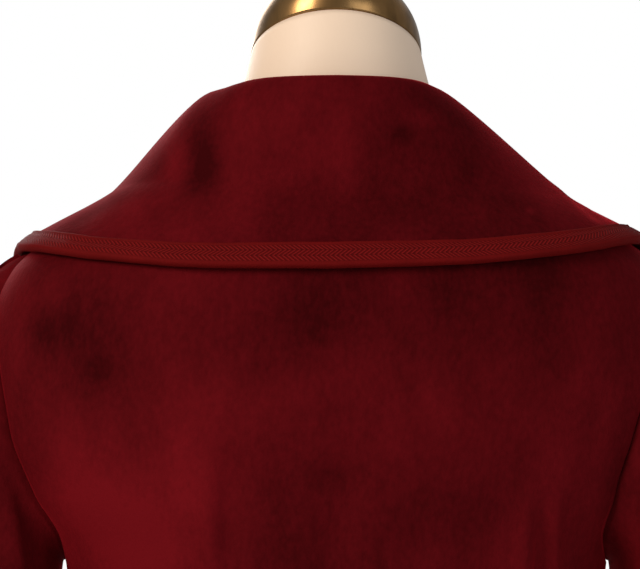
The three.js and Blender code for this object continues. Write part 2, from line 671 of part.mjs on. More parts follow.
function button(name, height, material) {
  const turn = CENTRE_FRONT;
  const lift = overlapLift(turn, height);
  const foot = coatPoint(turn, height, lift + BUTTON_SEAT);
  const normal = coatNormal(turn, height);
  const across = vector(1, 0, 0);
  const upward = normal.clone().cross(across).normalize();
  const place = (out) => (angle, radius) =>
    foot
      .clone()
      .addScaledVector(normal, out)
      .addScaledVector(across, radius * Math.cos(angle))
      .addScaledVector(upward, radius * Math.sin(angle));
  const profile = [
    [SHANK_RADIUS, 0],
    [SHANK_RADIUS, SHANK_LENGTH],
    [BUTTON_RADIUS - 1, SHANK_LENGTH + 0.2],
    [BUTTON_RADIUS, SHANK_LENGTH + 1.4],
    [BUTTON_RADIUS * 0.86, SHANK_LENGTH + BUTTON_DOME * 0.72],
    [BUTTON_RADIUS * 0.5, SHANK_LENGTH + BUTTON_DOME],
  ];
  return turned(name, profile, BUTTON_COLUMNS, material, place);
}

const material = (color, roughness, metalness) =>
  new THREE.MeshStandardMaterial({ color, roughness, metalness });
const velvet = material(0x6a0f18, 0.85, 0);
const braid = material(0x8c1a1c, 0.7, 0);
const formCover = material(0xe6cdb2, 0.6, 0);
const brass = material(0xb08a3c, 0.3, 1);

const coat = new THREE.Group();
coat.add(bodyPanel("back", BACK_COLUMNS, backEdges, velvet));
const lapped = { frontEnd: 1, lift: overlapLift };
coat.add(bodyPanel("front_right", FRONT_COLUMNS, rightFrontEdges, velvet, lapped));
coat.add(bodyPanel("front_left", FRONT_COLUMNS, leftFrontEdges, velvet, { frontEnd: 0 }));
coat.add(sleeve("sleeve_left", "left", velvet));
coat.add(sleeve("sleeve_right", "right", velvet));
const collarColumns = collarFaces();
coat.add(collarWall("collar", collarColumns, velvet));
coat.add(binding("collar_binding", collarColumns, braid));
buttonHeights.forEach((height, i) => coat.add(button(`button_${i + 1}`, height, velvet)));
coat.add(dressForm("form_torso", formCover));
coat.add(neckCap("neck_cap", brass));
const poleProfile = [
  [POLE_RADIUS, BOSS_HEIGHT + SEAM_GAP],
  [POLE_RADIUS, FORM_HEM - SEAM_GAP],
];
coat.add(turned("pole", poleProfile, POLE_COLUMNS, brass));
const baseProfile = [
  [BASE_RADIUS, 0],
  [BASE_RADIUS, BASE_HEIGHT - BASE_EDGE],
  [BASE_RADIUS - BASE_EDGE, BASE_HEIGHT],
  [BOSS_RADIUS, BASE_HEIGHT + BASE_EDGE],
  [BOSS_RADIUS - BOSS_TAPER, BOSS_HEIGHT],
];
coat.add(turned("base", baseProfile, BASE_COLUMNS, brass));

export default coat;
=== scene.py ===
# A long velvet coat with a wide rolled collar bound in braid, worn on a limbless dress form with a stand.
# Tables and shape functions are in millimetres, and a piece is turned into metres when its mesh is made.
# +Z is up, the coat's front faces -Y and its back +Y, so the wearer's left is +X.
import math

import bpy
import numpy as np
from bpy.props import FloatProperty, FloatVectorProperty, PointerProperty
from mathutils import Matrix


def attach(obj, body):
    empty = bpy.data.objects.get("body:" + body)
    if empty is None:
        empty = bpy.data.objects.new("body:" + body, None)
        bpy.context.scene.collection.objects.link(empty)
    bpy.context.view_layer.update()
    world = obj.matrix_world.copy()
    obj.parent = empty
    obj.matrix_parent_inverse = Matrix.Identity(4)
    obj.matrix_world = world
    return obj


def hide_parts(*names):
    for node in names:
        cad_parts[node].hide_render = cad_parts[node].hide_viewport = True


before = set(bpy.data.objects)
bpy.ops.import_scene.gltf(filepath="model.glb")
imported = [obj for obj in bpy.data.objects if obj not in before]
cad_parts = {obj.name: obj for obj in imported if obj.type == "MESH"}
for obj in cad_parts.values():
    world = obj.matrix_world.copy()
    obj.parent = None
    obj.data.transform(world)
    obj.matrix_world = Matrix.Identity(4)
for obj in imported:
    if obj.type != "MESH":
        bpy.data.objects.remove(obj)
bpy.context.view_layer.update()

bl_info = {
    "name": "Velvet Long Coat",
    "version": (1, 0, 0),
    "blender": (4, 5, 0),
    "location": "View3D > Sidebar > Coat",
    "description": "Builds a velvet long coat with a braid-bound rolled collar on a dress form",
    "category": "Add Mesh",
}

MM = 0.001

# Heights
HEM = 300
UNDERARM = 1160
SHOULDER_TIP = 1343
NECKLINE = 1398
BREAK = 1195
CUFF = 762
FORM_HEM = 740

# Seams and edges
SEAM_GAP = 0.4
SET_GAP = 0.7
OVERLAP = 22
OVERLAP_GAP = 0.9
NECK_EDGE = 66  # how far from the centre front the roll line ends at the neckline
SQUARENESS = 2.35
FORM_COVER = 0.7
ARMHOLE_LEAN = 0.35
BACK_PULL = 0.45
FRONT_PULL = 0.65

# Collar and its braid
CORNER = 0.55
STAND_SWEEP = 25
COLLAR_LIFT = 1.6
EDGE_LIFT = 4.6
BRAID_GAP = 0.3
UNDER_BRAID = 0.3
BRAID_FOLD = 1.7  # how far the braid's round fold reaches past the collar's edge
LEFT_LAPEL_END = 1280.3
RIGHT_LAPEL_END = 1197.7

# Stand and neck of the dress form
NECK_TOP = 1454.5
NECK_RADIUS = 50.5
NECK_SLANT = math.tan(math.radians(25.7))
CAP_HEIGHT = 40
CAP_SQUARENESS = 2.3
NECK_FLARE = 4
NECK_BEND = 14.5
NECK_FOOT = 1424
BASE_RADIUS = 175
BASE_HEIGHT = 14
BOSS_RADIUS = 30
BOSS_HEIGHT = 44
POLE_RADIUS = 13

# Buttons
BUTTON_HEIGHTS = (1160, 1064, 967, 872, 780)
BUTTON_RADIUS = 13
BUTTON_DOME = 5
SHANK_RADIUS = 4
SHANK_LENGTH = 2.2
BUTTON_SEAT = 0.9


def table(names, *rows):
    """A table with named columns, kept as one array for each column."""
    return dict(zip(names.split(), np.array(rows, float).T))


form_sections = table(
    "height half_width back front",
    (740, 160, 108, 104),
    (800, 168, 116, 108),
    (860, 165, 112, 110),
    (920, 150, 96, 106),
    (970, 132, 80, 100),
    (1005, 124, 73, 97),
    (1045, 128, 76, 102),
    (1100, 141, 86, 122),
    (1150, 149, 95, 137),
    (1200, 157, 101, 130),
    (1240, 168, 104, 114),
    (1280, 179, 103, 98),
    (1310, 185, 99, 85),
    (1330, 178.5, 94, 77),
    (1342, 167.5, 89, 72),
    (1350, 156.5, 85, 69),
    (1360, 140.5, 80, 65),
    (1370, 125, 75, 61),
    (1380, 107.5, 70, 57),
    (1390, 89.5, 64, 53),
    (1400, 72, 59, 50),
    (1414, 60, 55, 49),
    (1424, 58.5, 53.5, 51),
)

coat_sections = table(
    "height half_width back front",
    (300, 292, 262, 236),
    (400, 277, 246, 224),
    (500, 261, 228, 210),
    (600, 244, 208, 196),
    (700, 226, 188, 180),
    (800, 206, 164, 163),
    (880, 184, 138, 148),
    (950, 158, 110, 130),
    (1005, 142, 93, 115),
    (1060, 146, 97, 124),
    (1110, 152, 104, 141),
    (1140, 156, 108, 149),
    (1160, 158, 111, 151),
    (1177, 164, 113, 149),
    (1204, 184, 114, 141),
    (1240, 199, 114, 126),
    (1280, 202, 112, 109),
    (1310, 200, 107, 95),
    (1330, 190.5, 102, 86),
    (1343, 177.5, 96, 79),
    (1350, 166.5, 91.5, 76),
    (1360, 150.5, 86, 72),
    (1370, 134.5, 81, 68),
    (1380, 116.5, 76, 64),
    (1390, 98.5, 70.5, 60),
    (1398, 83, 66, 56),
)

# Flutes of the skirt, with their depth at the hem. Turns and spreads are in degrees, from the wearer's left.
skirt_flutes = table(
    "turn spread depth top",
    (9, 8, 15, 990),
    (34, 9, 27, 1010),
    (59, 8, 21, 1030),
    (82, 9, 25, 990),
    (106, 8, 20, 1000),
    (130, 9, 28, 1020),
    (155, 9, 21, 990),
    (181, 8, 16, 980),
    (206, 9, 24, 1000),
    (231, 9, 19, 960),
    (308, 9, 21, 960),
    (334, 9, 25, 1000),
)

back_ridges = table(
    "turn spread depth top bottom",
    (68.5, 4.2, 4.2, 1250, 985),
    (101, 7, 2.2, 1215, 980),
    (125, 4.5, 2.6, 1225, 990),
    (141, 4, 2.4, 1215, 985),
)

# Sign of the side, and how far round its armhole reaches behind and in front of the side seam, in degrees.
armholes = {"left": (1, 24, 25), "right": (-1, 36, 25)}

sleeve_rings = table(
    "height out back half_thick half_wide",
    (762, 259, -23, 34, 62),
    (800, 253, -19, 34, 63),
    (850, 245, -14, 34, 65),
    (915, 234, -8, 35, 68),
    (980, 224, -3, 35, 71),
    (1040, 215, 0, 36, 74),
    (1095, 208, 2, 37, 76),
    (1140, 203, 3, 40, 76),
)
SLEEVE_TOP = 1140

COLLAR_COLUMNS = "along seam_turn fold_in fold_off fall land_turn land_height edge_turn edge_height"
collar_left = table(
    COLLAR_COLUMNS,
    (0, 90, 36.7, 13.4, 30, 90, 1376, 90, 1331.3),
    (0.1, 66, 37, 11.6, 34, 69, 1377, 70, 1331.5),
    (0.2, 42, 35.2, 10.8, 42, 48, 1377, 49, 1335.3),
    (0.3, 20, 33, 13, 50, 26, 1376, 27, 1339.5),
    (0.4, 0, 26, 12.8, 50, 6, 1372, 7, 1340),
    (0.48, -18, 18, 12.5, 44, -14, 1366, -12, 1333),
    (0.55, -37.33, 12, 12, 32, -30, 1359, -27, 1317),
    (0.7, -37.33, 8, 10, 24, -47, 1337, -41, 1285),
    (0.85, -37.33, 7, 8, 20, -66, 1298, -58, 1244),
    (1, -37.33, 6, 7, 18, -81, 1266, -77.5, 1208),
)
collar_right = table(
    COLLAR_COLUMNS,
    (0, 90, 36.7, 13.4, 30, 90, 1376, 90, 1331.3),
    (0.1, 66, 37, 10.8, 28, 69, 1375, 70, 1333.2),
    (0.2, 42, 36.3, 7.6, 25, 48, 1373, 49, 1338.3),
    (0.3, 20, 35.8, 7.8, 24, 26, 1370, 27, 1343.5),
    (0.4, 0, 29.2, 7.8, 26, 6, 1368, 7, 1344),
    (0.48, -18, 20, 9, 28, -14, 1366, -12, 1337),
    (0.55, -37.33, 12, 10.5, 28, -30, 1360, -27, 1317),
    (0.66, -37.33, 8, 10, 22, -50, 1328, -43, 1279),
    (0.82, -37.33, 6.5, 7.5, 18, -77, 1262, -66, 1220),
    (1, -37.33, 4, 6, 14, -92, 1192, -87, 1184),
)

# Soft creases pressed into the cloth: the line each one follows across the coat's breadth and up it, its half
# width, and how far it stands out, or in where it is negative. Side is 1 on the back and -1 on the front.
body_creases = table(
    "side x0 z0 x1 z1 width depth",
    (1, 68, 1240, 70, 1110, 4.5, 2.8),
    (1, 57, 1236, 60, 1120, 7.0, -3.0),
    (1, -103, 1214, -101, 1110, 4.5, 2.6),
    (1, -113, 1206, -110, 1105, 3.6, -3.6),
    (1, -121, 1212, -118, 1112, 4.0, 2.6),
    (1, -2, 1238, 4, 1160, 12, -1.2),
    (1, 128, 1290, 112, 1235, 9, -1.6),
    (1, 24, 1190, 20, 1075, 8, 1.6),
    (1, -48, 1200, -44, 1080, 7, -1.5),
    (1, 96, 1205, 84, 1090, 6, -1.6),
    (1, -150, 1275, -136, 1215, 7, -1.4),
    (1, 70, 1060, 20, 1022, 7, -1.7),
    (1, -78, 1048, -28, 1018, 8, -1.5),
    (1, 40, 1000, 104, 1040, 6, 1.4),
    (-1, 120, 1262, 96, 1180, 8, -1.8),
    (-1, -126, 1250, -100, 1172, 8, -1.8),
    (-1, 86, 1130, 52, 1040, 7, -1.5),
    (-1, -92, 1122, -60, 1030, 7, -1.6),
    (-1, 96, 1028, 40, 1052, 6, -1.6),
    (-1, -88, 1036, -34, 1064, 7, -1.4),
    (-1, 70, 990, 96, 900, 8, 1.5),
    (-1, -66, 985, -92, 890, 8, 1.5),
)
sleeve_creases = table(
    "side x0 z0 x1 z1 width depth",
    (1, 204, 1228, 181, 1105, 7.5, -12.0),
    (1, 188, 1210, 172, 1120, 4.5, 5.0),
    (1, 236, 1190, 222, 1060, 9, -5.0),
    (1, 222, 1060, 236, 930, 8, -4.0),
    (1, 250, 960, 262, 820, 8, -3.5),
    (1, 232, 880, 246, 775, 7, 3.0),
    (-1, 196, 1222, 180, 1100, 8, -8.0),
    (-1, 232, 1180, 216, 1050, 9, -5.0),
    (-1, 214, 1010, 236, 880, 8, -4.0),
    (-1, 256, 930, 262, 800, 8, 3.0),
)
collar_creases = table(
    "side x0 z0 x1 z1 width depth",
    (1, -129, 1375, -152, 1354, 2.6, -1.1),
    (1, -120, 1378, -146, 1362, 5.0, 0.8),
    (1, 78, 1412, 72, 1372, 5.0, -0.9),
    (1, -38, 1412, -30, 1392, 6.0, -0.6),
    (1, 128, 1372, 152, 1350, 6.0, -0.8),
    (1, 30, 1382, 12, 1350, 10, 0.6),
    (-1, 110, 1352, 96, 1290, 6, -1.0),
    (-1, -112, 1350, -92, 1284, 6, -1.0),
    (-1, 70, 1330, 60, 1262, 6, 0.9),
    (-1, -74, 1310, -50, 1240, 6, 0.9),
)

# Places where the pile is brushed another way, and a painted shadow under the collar and painted light on the lower
# left of the back: middle, half sizes, lean in degrees and how light or dark it is.
pile_marks_and_painted_light = table(
    "side x z half_wide half_high lean shade",
    (1, 75, 1394, 8, 21, -4, -0.35),
    (1, 92, 1396, 8, 19, 0, 0.4),
    (1, -48, 1416, 8, 5, 10, 0.35),
    (1, -37, 1407, 6, 5, 0, -0.3),
    (1, -108, 1364, 2, 2, 0, 0.5),
    (1, 118, 1367, 26, 8, -32, 0.25),
    (1, 161, 1298, 15, 12, 20, -0.3),
    (1, 129, 1276, 9, 8, 0, -0.25),
    (1, 50, 1284, 3, 2.5, 0, 0.45),
    (1, -1, 1220, 16, 9, 0, -0.25),
    # painted light: a lighter patch on the lower left of the back
    (1, 120, 1205, 46, 38, 12, 0.55),
    (1, -110, 1330, 30, 12, 20, -0.15),
    # painted shadow: a darker band across the back just under the collar
    (1, 0, 1296, 150, 24, 0, -0.15),
    # painted light: a broader lighter patch on the lower left of the back
    (1, 92, 1180, 62, 70, 0, 0.3),
    (1, -118, 1190, 50, 60, 0, 0.15),
    (1, 66, 1345, 40, 26, 0, 0.2),
    (-1, 60, 1180, 20, 30, 8, 0.35),
    (-1, -80, 1120, 26, 34, -10, -0.3),
    (-1, 40, 900, 30, 60, 6, 0.25),
    (1, -40, 800, 50, 90, 8, 0.3),
    (1, 60, 600, 60, 80, -6, -0.25),
)


def read(rows, key, name, at):
    """A column's value where the key column reads at: a cubic between rows whose slope at a row is the harmonic
    mean of the slopes on its two sides, or nought where they differ in sign, so that it never overshoots."""
    x, y = rows[key], rows[name]
    slope = np.diff(y) / np.diff(x)
    before, after = slope[:-1], slope[1:]
    agree = before * after > 0
    total = np.where(agree, before + after, 1)
    tangent = np.concatenate([slope[:1], np.where(agree, 2 * before * after / total, 0), slope[-1:]])
    at = np.clip(at, x[0], x[-1])
    i = np.clip(np.searchsorted(x, at, side="right") - 1, 0, len(x) - 2)
    span = x[i + 1] - x[i]
    s = (at - x[i]) / span
    bend = tangent[i] * (1 - s) - tangent[i + 1] * s
    return y[i] + (y[i + 1] - y[i]) * s * s * (3 - 2 * s) + span * s * (1 - s) * bend


def mix(a, b, share):
    """The value that is a share of the way from a to b."""
    return a + (b - a) * share


def ease(x):
    """A smooth step from 0 to 1 while x goes from 0 to 1."""
    x = np.clip(x, 0, 1)
    return x * x * (3 - 2 * x)


def points(x, y, z):
    """Points from their three coordinates."""
    return np.stack(np.broadcast_arrays(x, y, z), axis=-1).astype(float)


def length(v):
    """Lengths of vectors, kept as a last axis of one."""
    return np.linalg.norm(v, axis=-1, keepdims=True)


def unit(v):
    """Vectors at length one."""
    return v / np.maximum(length(v), 1e-12)


def times(values, vectors):
    """Vectors, each multiplied by its own number."""
    return np.asarray(values)[..., None] * vectors


def body_point(sections, turn, height, relief=0.0):
    """A point of a sectioned body. A section is a superellipse of its half width and its depth on that side, at
    the true angle of the turn, and relief is added to its distance from the axis."""
    depth = np.where(
        np.sin(turn) >= 0, read(sections, "height", "back", height), read(sections, "height", "front", height)
    )
    half = read(sections, "height", "half_width", height)
    angle = np.arctan2(depth * np.sin(turn), half * np.cos(turn))
    across = np.abs(np.cos(angle) / half) ** SQUARENESS
    along = np.abs(np.sin(angle) / depth) ** SQUARENESS
    radius = (across + along) ** (-1 / SQUARENESS) + relief
    return points(radius * np.cos(angle), radius * np.sin(angle), height)


def folds(turn, height):
    """Relief of the flutes, which grow from the waist to the hem, and of the back's ridges, which rise and fade
    between their two ends. Each has a bell-shaped section across its turn."""
    degrees = np.degrees(turn)[..., None]
    height = np.asarray(height)[..., None]

    def bell(rows):
        apart = (degrees - rows["turn"] + 540) % 360 - 180
        return rows["depth"] * np.exp(-((apart / rows["spread"]) ** 2))

    grown = np.clip((skirt_flutes["top"] - height) / (skirt_flutes["top"] - HEM), 0, None)
    share = np.clip((height - back_ridges["bottom"]) / (back_ridges["top"] - back_ridges["bottom"]), 0, 1)
    rise = np.abs(np.sin(np.pi * share)) ** 0.8
    return (bell(skirt_flutes) * grown**1.4).sum(-1) + (bell(back_ridges) * rise).sum(-1)


def coat_face(turn, height):
    """The coat's outer face: its sections with their folds."""
    turn, height = np.broadcast_arrays(np.asarray(turn, float), np.asarray(height, float))
    return body_point(coat_sections, turn, height, folds(turn, height))


def normal_of(surface, u, v, step=1e-3):
    """The outward direction of a surface of two parameters: the cross product of its two central differences."""
    along_u = surface(u + step, v) - surface(u - step, v)
    along_v = surface(u, v + step) - surface(u, v - step)
    return unit(np.cross(along_u, along_v))


def grid_normals(grid, wrapped=False):
    """Directions at right angles to a grid of points, from the differences along its rows and its columns."""
    down = np.gradient(grid, axis=0)
    if wrapped:
        around = np.roll(grid, -1, axis=1) - np.roll(grid, 1, axis=1)
    else:
        around = np.gradient(grid, axis=1)
    return unit(np.cross(around, down))


def crease_relief(place, creases):
    """How far the creases lift each point: across a crease a bell of its half width, and along it a half wave
    that fades at both ends."""
    x, y, z = (place[..., i, None] for i in range(3))
    run = np.stack([creases["x1"] - creases["x0"], creases["z1"] - creases["z0"]])
    reach = np.hypot(*run)
    share = ((x - creases["x0"]) * run[0] + (z - creases["z0"]) * run[1]) / reach**2
    apart = ((x - creases["x0"]) * run[1] - (z - creases["z0"]) * run[0]) / reach
    fade = np.sin(np.pi * np.clip(share, 0, 1)) ** 0.7
    facing = ease((y * creases["side"] + 12) / 24)
    return (creases["depth"] * np.exp(-((apart / creases["width"]) ** 2)) * fade * facing).sum(-1)


def pile_tone_and_painted_light(place):
    """How light or dark the brushed pile is at each point, with the painted shadow and painted light among the marks:
    soft leaning ellipses around the marks.
    """
    x, y, z = (place[..., i, None] for i in range(3))
    lean = np.radians(pile_marks_and_painted_light["lean"])
    dx, dz = x - pile_marks_and_painted_light["x"], z - pile_marks_and_painted_light["z"]
    across = (dx * np.cos(lean) + dz * np.sin(lean)) / pile_marks_and_painted_light["half_wide"]
    along = (dz * np.cos(lean) - dx * np.sin(lean)) / pile_marks_and_painted_light["half_high"]
    facing = ease((y * pile_marks_and_painted_light["side"] + 10) / 20)
    return (pile_marks_and_painted_light["shade"] * np.exp(-(across**2 + along**2)) * facing).sum(-1)


def grid_quads(index):
    """Quads between neighbours of a grid of vertex numbers."""
    return np.stack([index[:-1, :-1], index[:-1, 1:], index[1:, 1:], index[1:, :-1]], axis=-1).reshape(-1, 4)


def wall(outer, inner, wrapped=False, bulge=0.8):
    """Vertices and quads of a closed wall of cloth between two grids. Both share a rim of points halfway between
    them, pushed out past the edge, so that edges are round. A wrapped wall closes its rows on themselves."""
    middle = (outer + inner) / 2
    middle = np.concatenate(
        [middle[:1] + bulge * unit(middle[:1] - middle[1:2]), middle, middle[-1:] + bulge * unit(middle[-1:] - middle[-2:-1])]
    )
    inside = (slice(1, -1), slice(None))
    if not wrapped:
        first = middle[:, :1] + bulge * unit(middle[:, :1] - middle[:, 1:2])
        last = middle[:, -1:] + bulge * unit(middle[:, -1:] - middle[:, -2:-1])
        middle = np.concatenate([first, middle, last], axis=1)
        inside = (slice(1, -1), slice(1, -1))
    front = middle.copy()
    front[inside] = outer
    front_index = np.arange(front.shape[0] * front.shape[1]).reshape(front.shape[:2])
    back_index = front_index.copy()
    back_index[inside] = front_index.size + np.arange(inner.shape[0] * inner.shape[1]).reshape(inner.shape[:2])
    if wrapped:
        front_index, back_index = (np.concatenate([i, i[:, :1]], axis=1) for i in (front_index, back_index))
    vertices = np.concatenate([front.reshape(-1, 3), inner.reshape(-1, 3)])
    return vertices, np.concatenate([grid_quads(front_index), grid_quads(back_index)[:, ::-1]])


def loft(rings):
    """Vertices and faces of a solid through closed rings, with a fan to a middle point at each end."""
    rows, columns = rings.shape[:2]
    index = np.arange(rows * columns).reshape(rows, columns)
    index = np.concatenate([index, index[:, :1]], axis=1)
    ends = np.stack([rings[0].mean(0), rings[-1].mean(0)])
    vertices = np.concatenate([rings.reshape(-1, 3), ends])
    first, last = len(vertices) - 2, len(vertices) - 1
    bottom = np.stack([np.full(columns, first), index[0, 1:], index[0, :-1]], axis=-1)
    top = np.stack([np.full(columns, last), index[-1, :-1], index[-1, 1:]], axis=-1)
    return vertices, grid_quads(index), np.concatenate([bottom, top])


def signed_volume(vertices, faces):
    """Six times the volume inside faces, which is negative when they point in."""
    first = vertices[faces[:, 0]]
    total = 0.0
    for k in range(1, faces.shape[1] - 1):
        total += np.einsum("ij,ij->", first, np.cross(vertices[faces[:, k]], vertices[faces[:, k + 1]]))
    return total


def make_piece(name, vertices, quads, material, nodes, triangles=None, shade=None, uv=None, slot="velvet"):
    """A finished piece from vertices in millimetres. It rides on the frame and stands for its CAD nodes."""
    parts = [quads] if triangles is None else [quads, triangles]
    outwards = sum(signed_volume(vertices, part) for part in parts) > 0
    faces = [face for part in parts for face in (part if outwards else part[:, ::-1]).tolist()]
    mesh = bpy.data.meshes.new(name)
    mesh.from_pydata((vertices * MM).tolist(), [], faces)
    mesh.polygons.foreach_set("use_smooth", np.ones(len(faces), bool))
    if shade is not None:
        mesh.attributes.new("nap_and_painted_light", "FLOAT", "POINT").data.foreach_set("value", shade)
    if uv is not None:
        corners = np.empty(len(mesh.loops), int)
        mesh.loops.foreach_get("vertex_index", corners)
        mesh.uv_layers.new(name="weave").uv.foreach_set("vector", uv[corners].ravel())
    mesh.update()
    mesh.materials.append(material)
    piece = bpy.data.objects.new(name, mesh)
    bpy.context.scene.collection.objects.link(piece)
    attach(piece, "root")
    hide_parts(*nodes)
    return piece


def armhole_height(phi):
    """Height of an armhole's edge at an angle of its loop, which is 0 at the shoulder and a half turn below."""
    return mix(UNDERARM, SHOULDER_TIP, (1 + np.cos(phi)) / 2)


def armhole_reach(phi, degrees):
    """How far round from the side seam an armhole's edge is: a half wave, widest below its middle."""
    return math.radians(1) * degrees * np.abs(np.sin(phi)) * (1 - ARMHOLE_LEAN * np.cos(phi))


def side_edge(height, degrees, depth):
    """Where a body panel ends at the side, in radians from the side seam: half a seam gap, or the armhole."""
    seam = SEAM_GAP / 2 / depth
    share = np.clip((height - UNDERARM) / (SHOULDER_TIP - UNDERARM), 0, 1)
    return np.maximum(seam, armhole_reach(np.arccos(2 * share - 1), degrees))


def front_edge_x(height):
    """The front edge: past the centre below the break, then along the roll line up to the neckline."""
    roll = np.clip((height - BREAK) / (NECKLINE - BREAK), 0, None)
    return OVERLAP - (OVERLAP + NECK_EDGE) * roll


def front_edge_turn(height):
    """The front edge as a turn from the centre front."""
    return np.arcsin(front_edge_x(height) / read(coat_sections, "height", "half_width", height))


def overlap_lift(turn, height, cloth):
    """How far the right front rises towards its edge, to lie over the left one."""
    x = coat_face(turn, height)[..., 0]
    return (cloth + OVERLAP_GAP) * ease((x + 85) / 55) * ease((1330 - height) / 80)


def panel_edges(piece, height):
    """Turns where a body panel starts and ends at a height."""

    def side(name, part):
        column = "back" if part == 1 else "front"
        return side_edge(height, armholes[name][part], read(coat_sections, "height", column, height))

    centre = 1.5 * np.pi
    if piece == "back":
        return side("left", 1), np.pi - side("right", 1)
    if piece == "front_right":
        return np.pi + side("right", 2), centre + front_edge_turn(height)
    return centre - front_edge_turn(height), 2 * np.pi - side("left", 2)


def column_turn(piece, height, share):
    """Turns of a panel's columns: even in its widest row, and in the others moved with the edges near them."""
    widest = panel_edges(piece, UNDERARM)
    starts, ends = panel_edges(piece, height)
    front_end = {"back": -1, "front_right": 1, "front_left": 0}[piece]
    reach = BACK_PULL if piece == "back" else FRONT_PULL

    def pull(end, away):
        return 1 - away if end == front_end else np.clip(1 - away / reach, 0, None) ** 1.5

    even = mix(widest[0], widest[1], share)
    return even + (starts - widest[0]) * pull(0, share) + (ends - widest[1]) * pull(1, 1 - share)


def seam_dip(grid, deep_start, deep_end):
    """How far a panel sinks at the two ends of its rows, where a seam pulls it in: a bell from each edge."""
    steps = np.linalg.norm(np.diff(grid, axis=1), axis=-1)
    run = np.concatenate([np.zeros((len(grid), 1)), np.cumsum(steps, axis=1)], axis=1)
    back = run[:, -1:] - run
    return -deep_start * np.exp(-((run / 3.2) ** 2)) - deep_end * np.exp(-((back / 3.2) ** 2))


def panel_grids(piece, columns, cloth):
    """Outer and inner points of a body panel: the coat's face at its rows and columns, moved along its normal by
    the overlap, the seams' dips and the creases."""
    skirt = np.linspace(HEM, UNDERARM, 96, endpoint=False)
    armhole = armhole_height(np.pi * (1 - np.linspace(0, 1, 60)))
    shoulder = np.linspace(SHOULDER_TIP, NECKLINE, 20)[1:]
    height = np.concatenate([skirt, armhole, shoulder])[:, None]
    even = np.linspace(0, 1, columns)
    share = mix(even, (1 - np.cos(np.pi * even)) / 2, 0.6)[None, :]
    turn = column_turn(piece, height, share)
    height = np.broadcast_to(height, turn.shape)
    face = coat_face(turn, height)
    normal = normal_of(coat_face, turn, height)
    deep = {"back": (1.1, 1.1), "front_right": (1.1, 0.3), "front_left": (0.3, 1.1)}[piece]
    lift = seam_dip(face, *deep) + crease_relief(face, body_creases)
    if piece == "front_right":
        lift = lift + overlap_lift(turn, height, cloth)
    return face + times(lift, normal), face + times(lift - cloth, normal)


def armhole_edge(side, phi):
    """Points of an armhole's edge at angles of its loop, with the coat's normal there and the way into it."""
    sign, behind, before = armholes[side]
    reach = armhole_reach(phi, np.where(np.sin(phi) >= 0, behind, before)) * np.sign(np.sin(phi))
    turn = reach if sign > 0 else np.pi - reach
    height = armhole_height(phi)
    place = coat_face(turn, height)
    normal = normal_of(coat_face, turn, height)
    along = np.roll(place, -1, axis=0) - np.roll(place, 1, axis=0)
    return place, normal, sign * unit(np.cross(along, normal))


def hermite(start, leaving, end, arriving, s):
    """A cubic curve from one point to another with a given direction and speed at each."""
    return (
        mix(start, end, s * s * (3 - 2 * s)) + leaving * s * (1 - s) ** 2 - arriving * s * s * (1 - s)
    )


def sleeve_ring(side, phi, height):
    """A level ring of a sleeve: an ellipse about its own centre, phi 0 outwards and a quarter turn behind."""
    row = {name: read(sleeve_rings, "height", name, height) for name in ("out", "back", "half_thick", "half_wide")}
    x = row["out"] + row["half_thick"] * np.cos(phi)
    return points(armholes[side][0] * x, row["back"] + row["half_wide"] * np.sin(phi), height)


def sleeve_grids(side, cloth, columns=120):
    """Outer and inner points of a sleeve: its head as one cubic curve a column from the armhole's seam down to the
    tube, then level rings, with the creases along the normals."""
    phi = np.linspace(0, 2 * np.pi, columns, endpoint=False)
    place, normal, inward = armhole_edge(side, phi)
    below = ((1 - np.cos(phi)) / 2)[:, None]
    start = place + SET_GAP * inward
    end = sleeve_ring(side, phi, SLEEVE_TOP)
    speed = 0.9 * length(end - start)
    leaving = (
        inward * mix(0.35, 0.55, below) + normal * mix(0.5, 0.8, below) + unit(end - start) * mix(0.4, 0.1, below)
    )
    arriving = unit(sleeve_ring(side, phi, SLEEVE_TOP - 30) - end)
    share = (np.linspace(0, 1, 44) ** 1.25)[:, None, None]
    head = hermite(start, speed * unit(leaving), end, speed * arriving, share)
    levels = np.linspace(SLEEVE_TOP, CUFF, 84)[1:, None]
    tube = sleeve_ring(side, phi[None, :], np.broadcast_to(levels, (len(levels), columns)))
    face = np.concatenate([head, tube])
    sign = armholes[side][0]
    out = -sign * grid_normals(face, wrapped=True)
    if np.einsum("ijk,ijk->", out, face - face.mean(axis=1, keepdims=True)) < 0:
        out = -out
    mirrored = face * np.array([sign, 1, 1])
    reach = np.concatenate([np.linspace(0, 1, len(head)), np.ones(len(tube))])[:, None]
    lift = crease_relief(mirrored, sleeve_creases) * ease(reach * 3)
    lift = lift - 1.0 * np.exp(-((reach * 22) ** 2))
    inner_way = np.where(np.arange(len(face))[:, None, None] == 0, normal[None], out)
    return face + times(lift, out), face + times(lift, out) - (cloth - 0.3) * inner_way


def side_face(right_side, turn, height, out=0.0, cloth=2.5):
    """The coat's face on the left, or on the right as its mirror image with the overlap's lift."""
    flip = np.array([-1, 1, 1]) if right_side else np.ones(3)
    turn = np.pi - turn if right_side else turn
    lift = out + (overlap_lift(turn, height, cloth) if right_side else 0)
    return (coat_face(turn, height) + times(lift, normal_of(coat_face, turn, height))) * flip


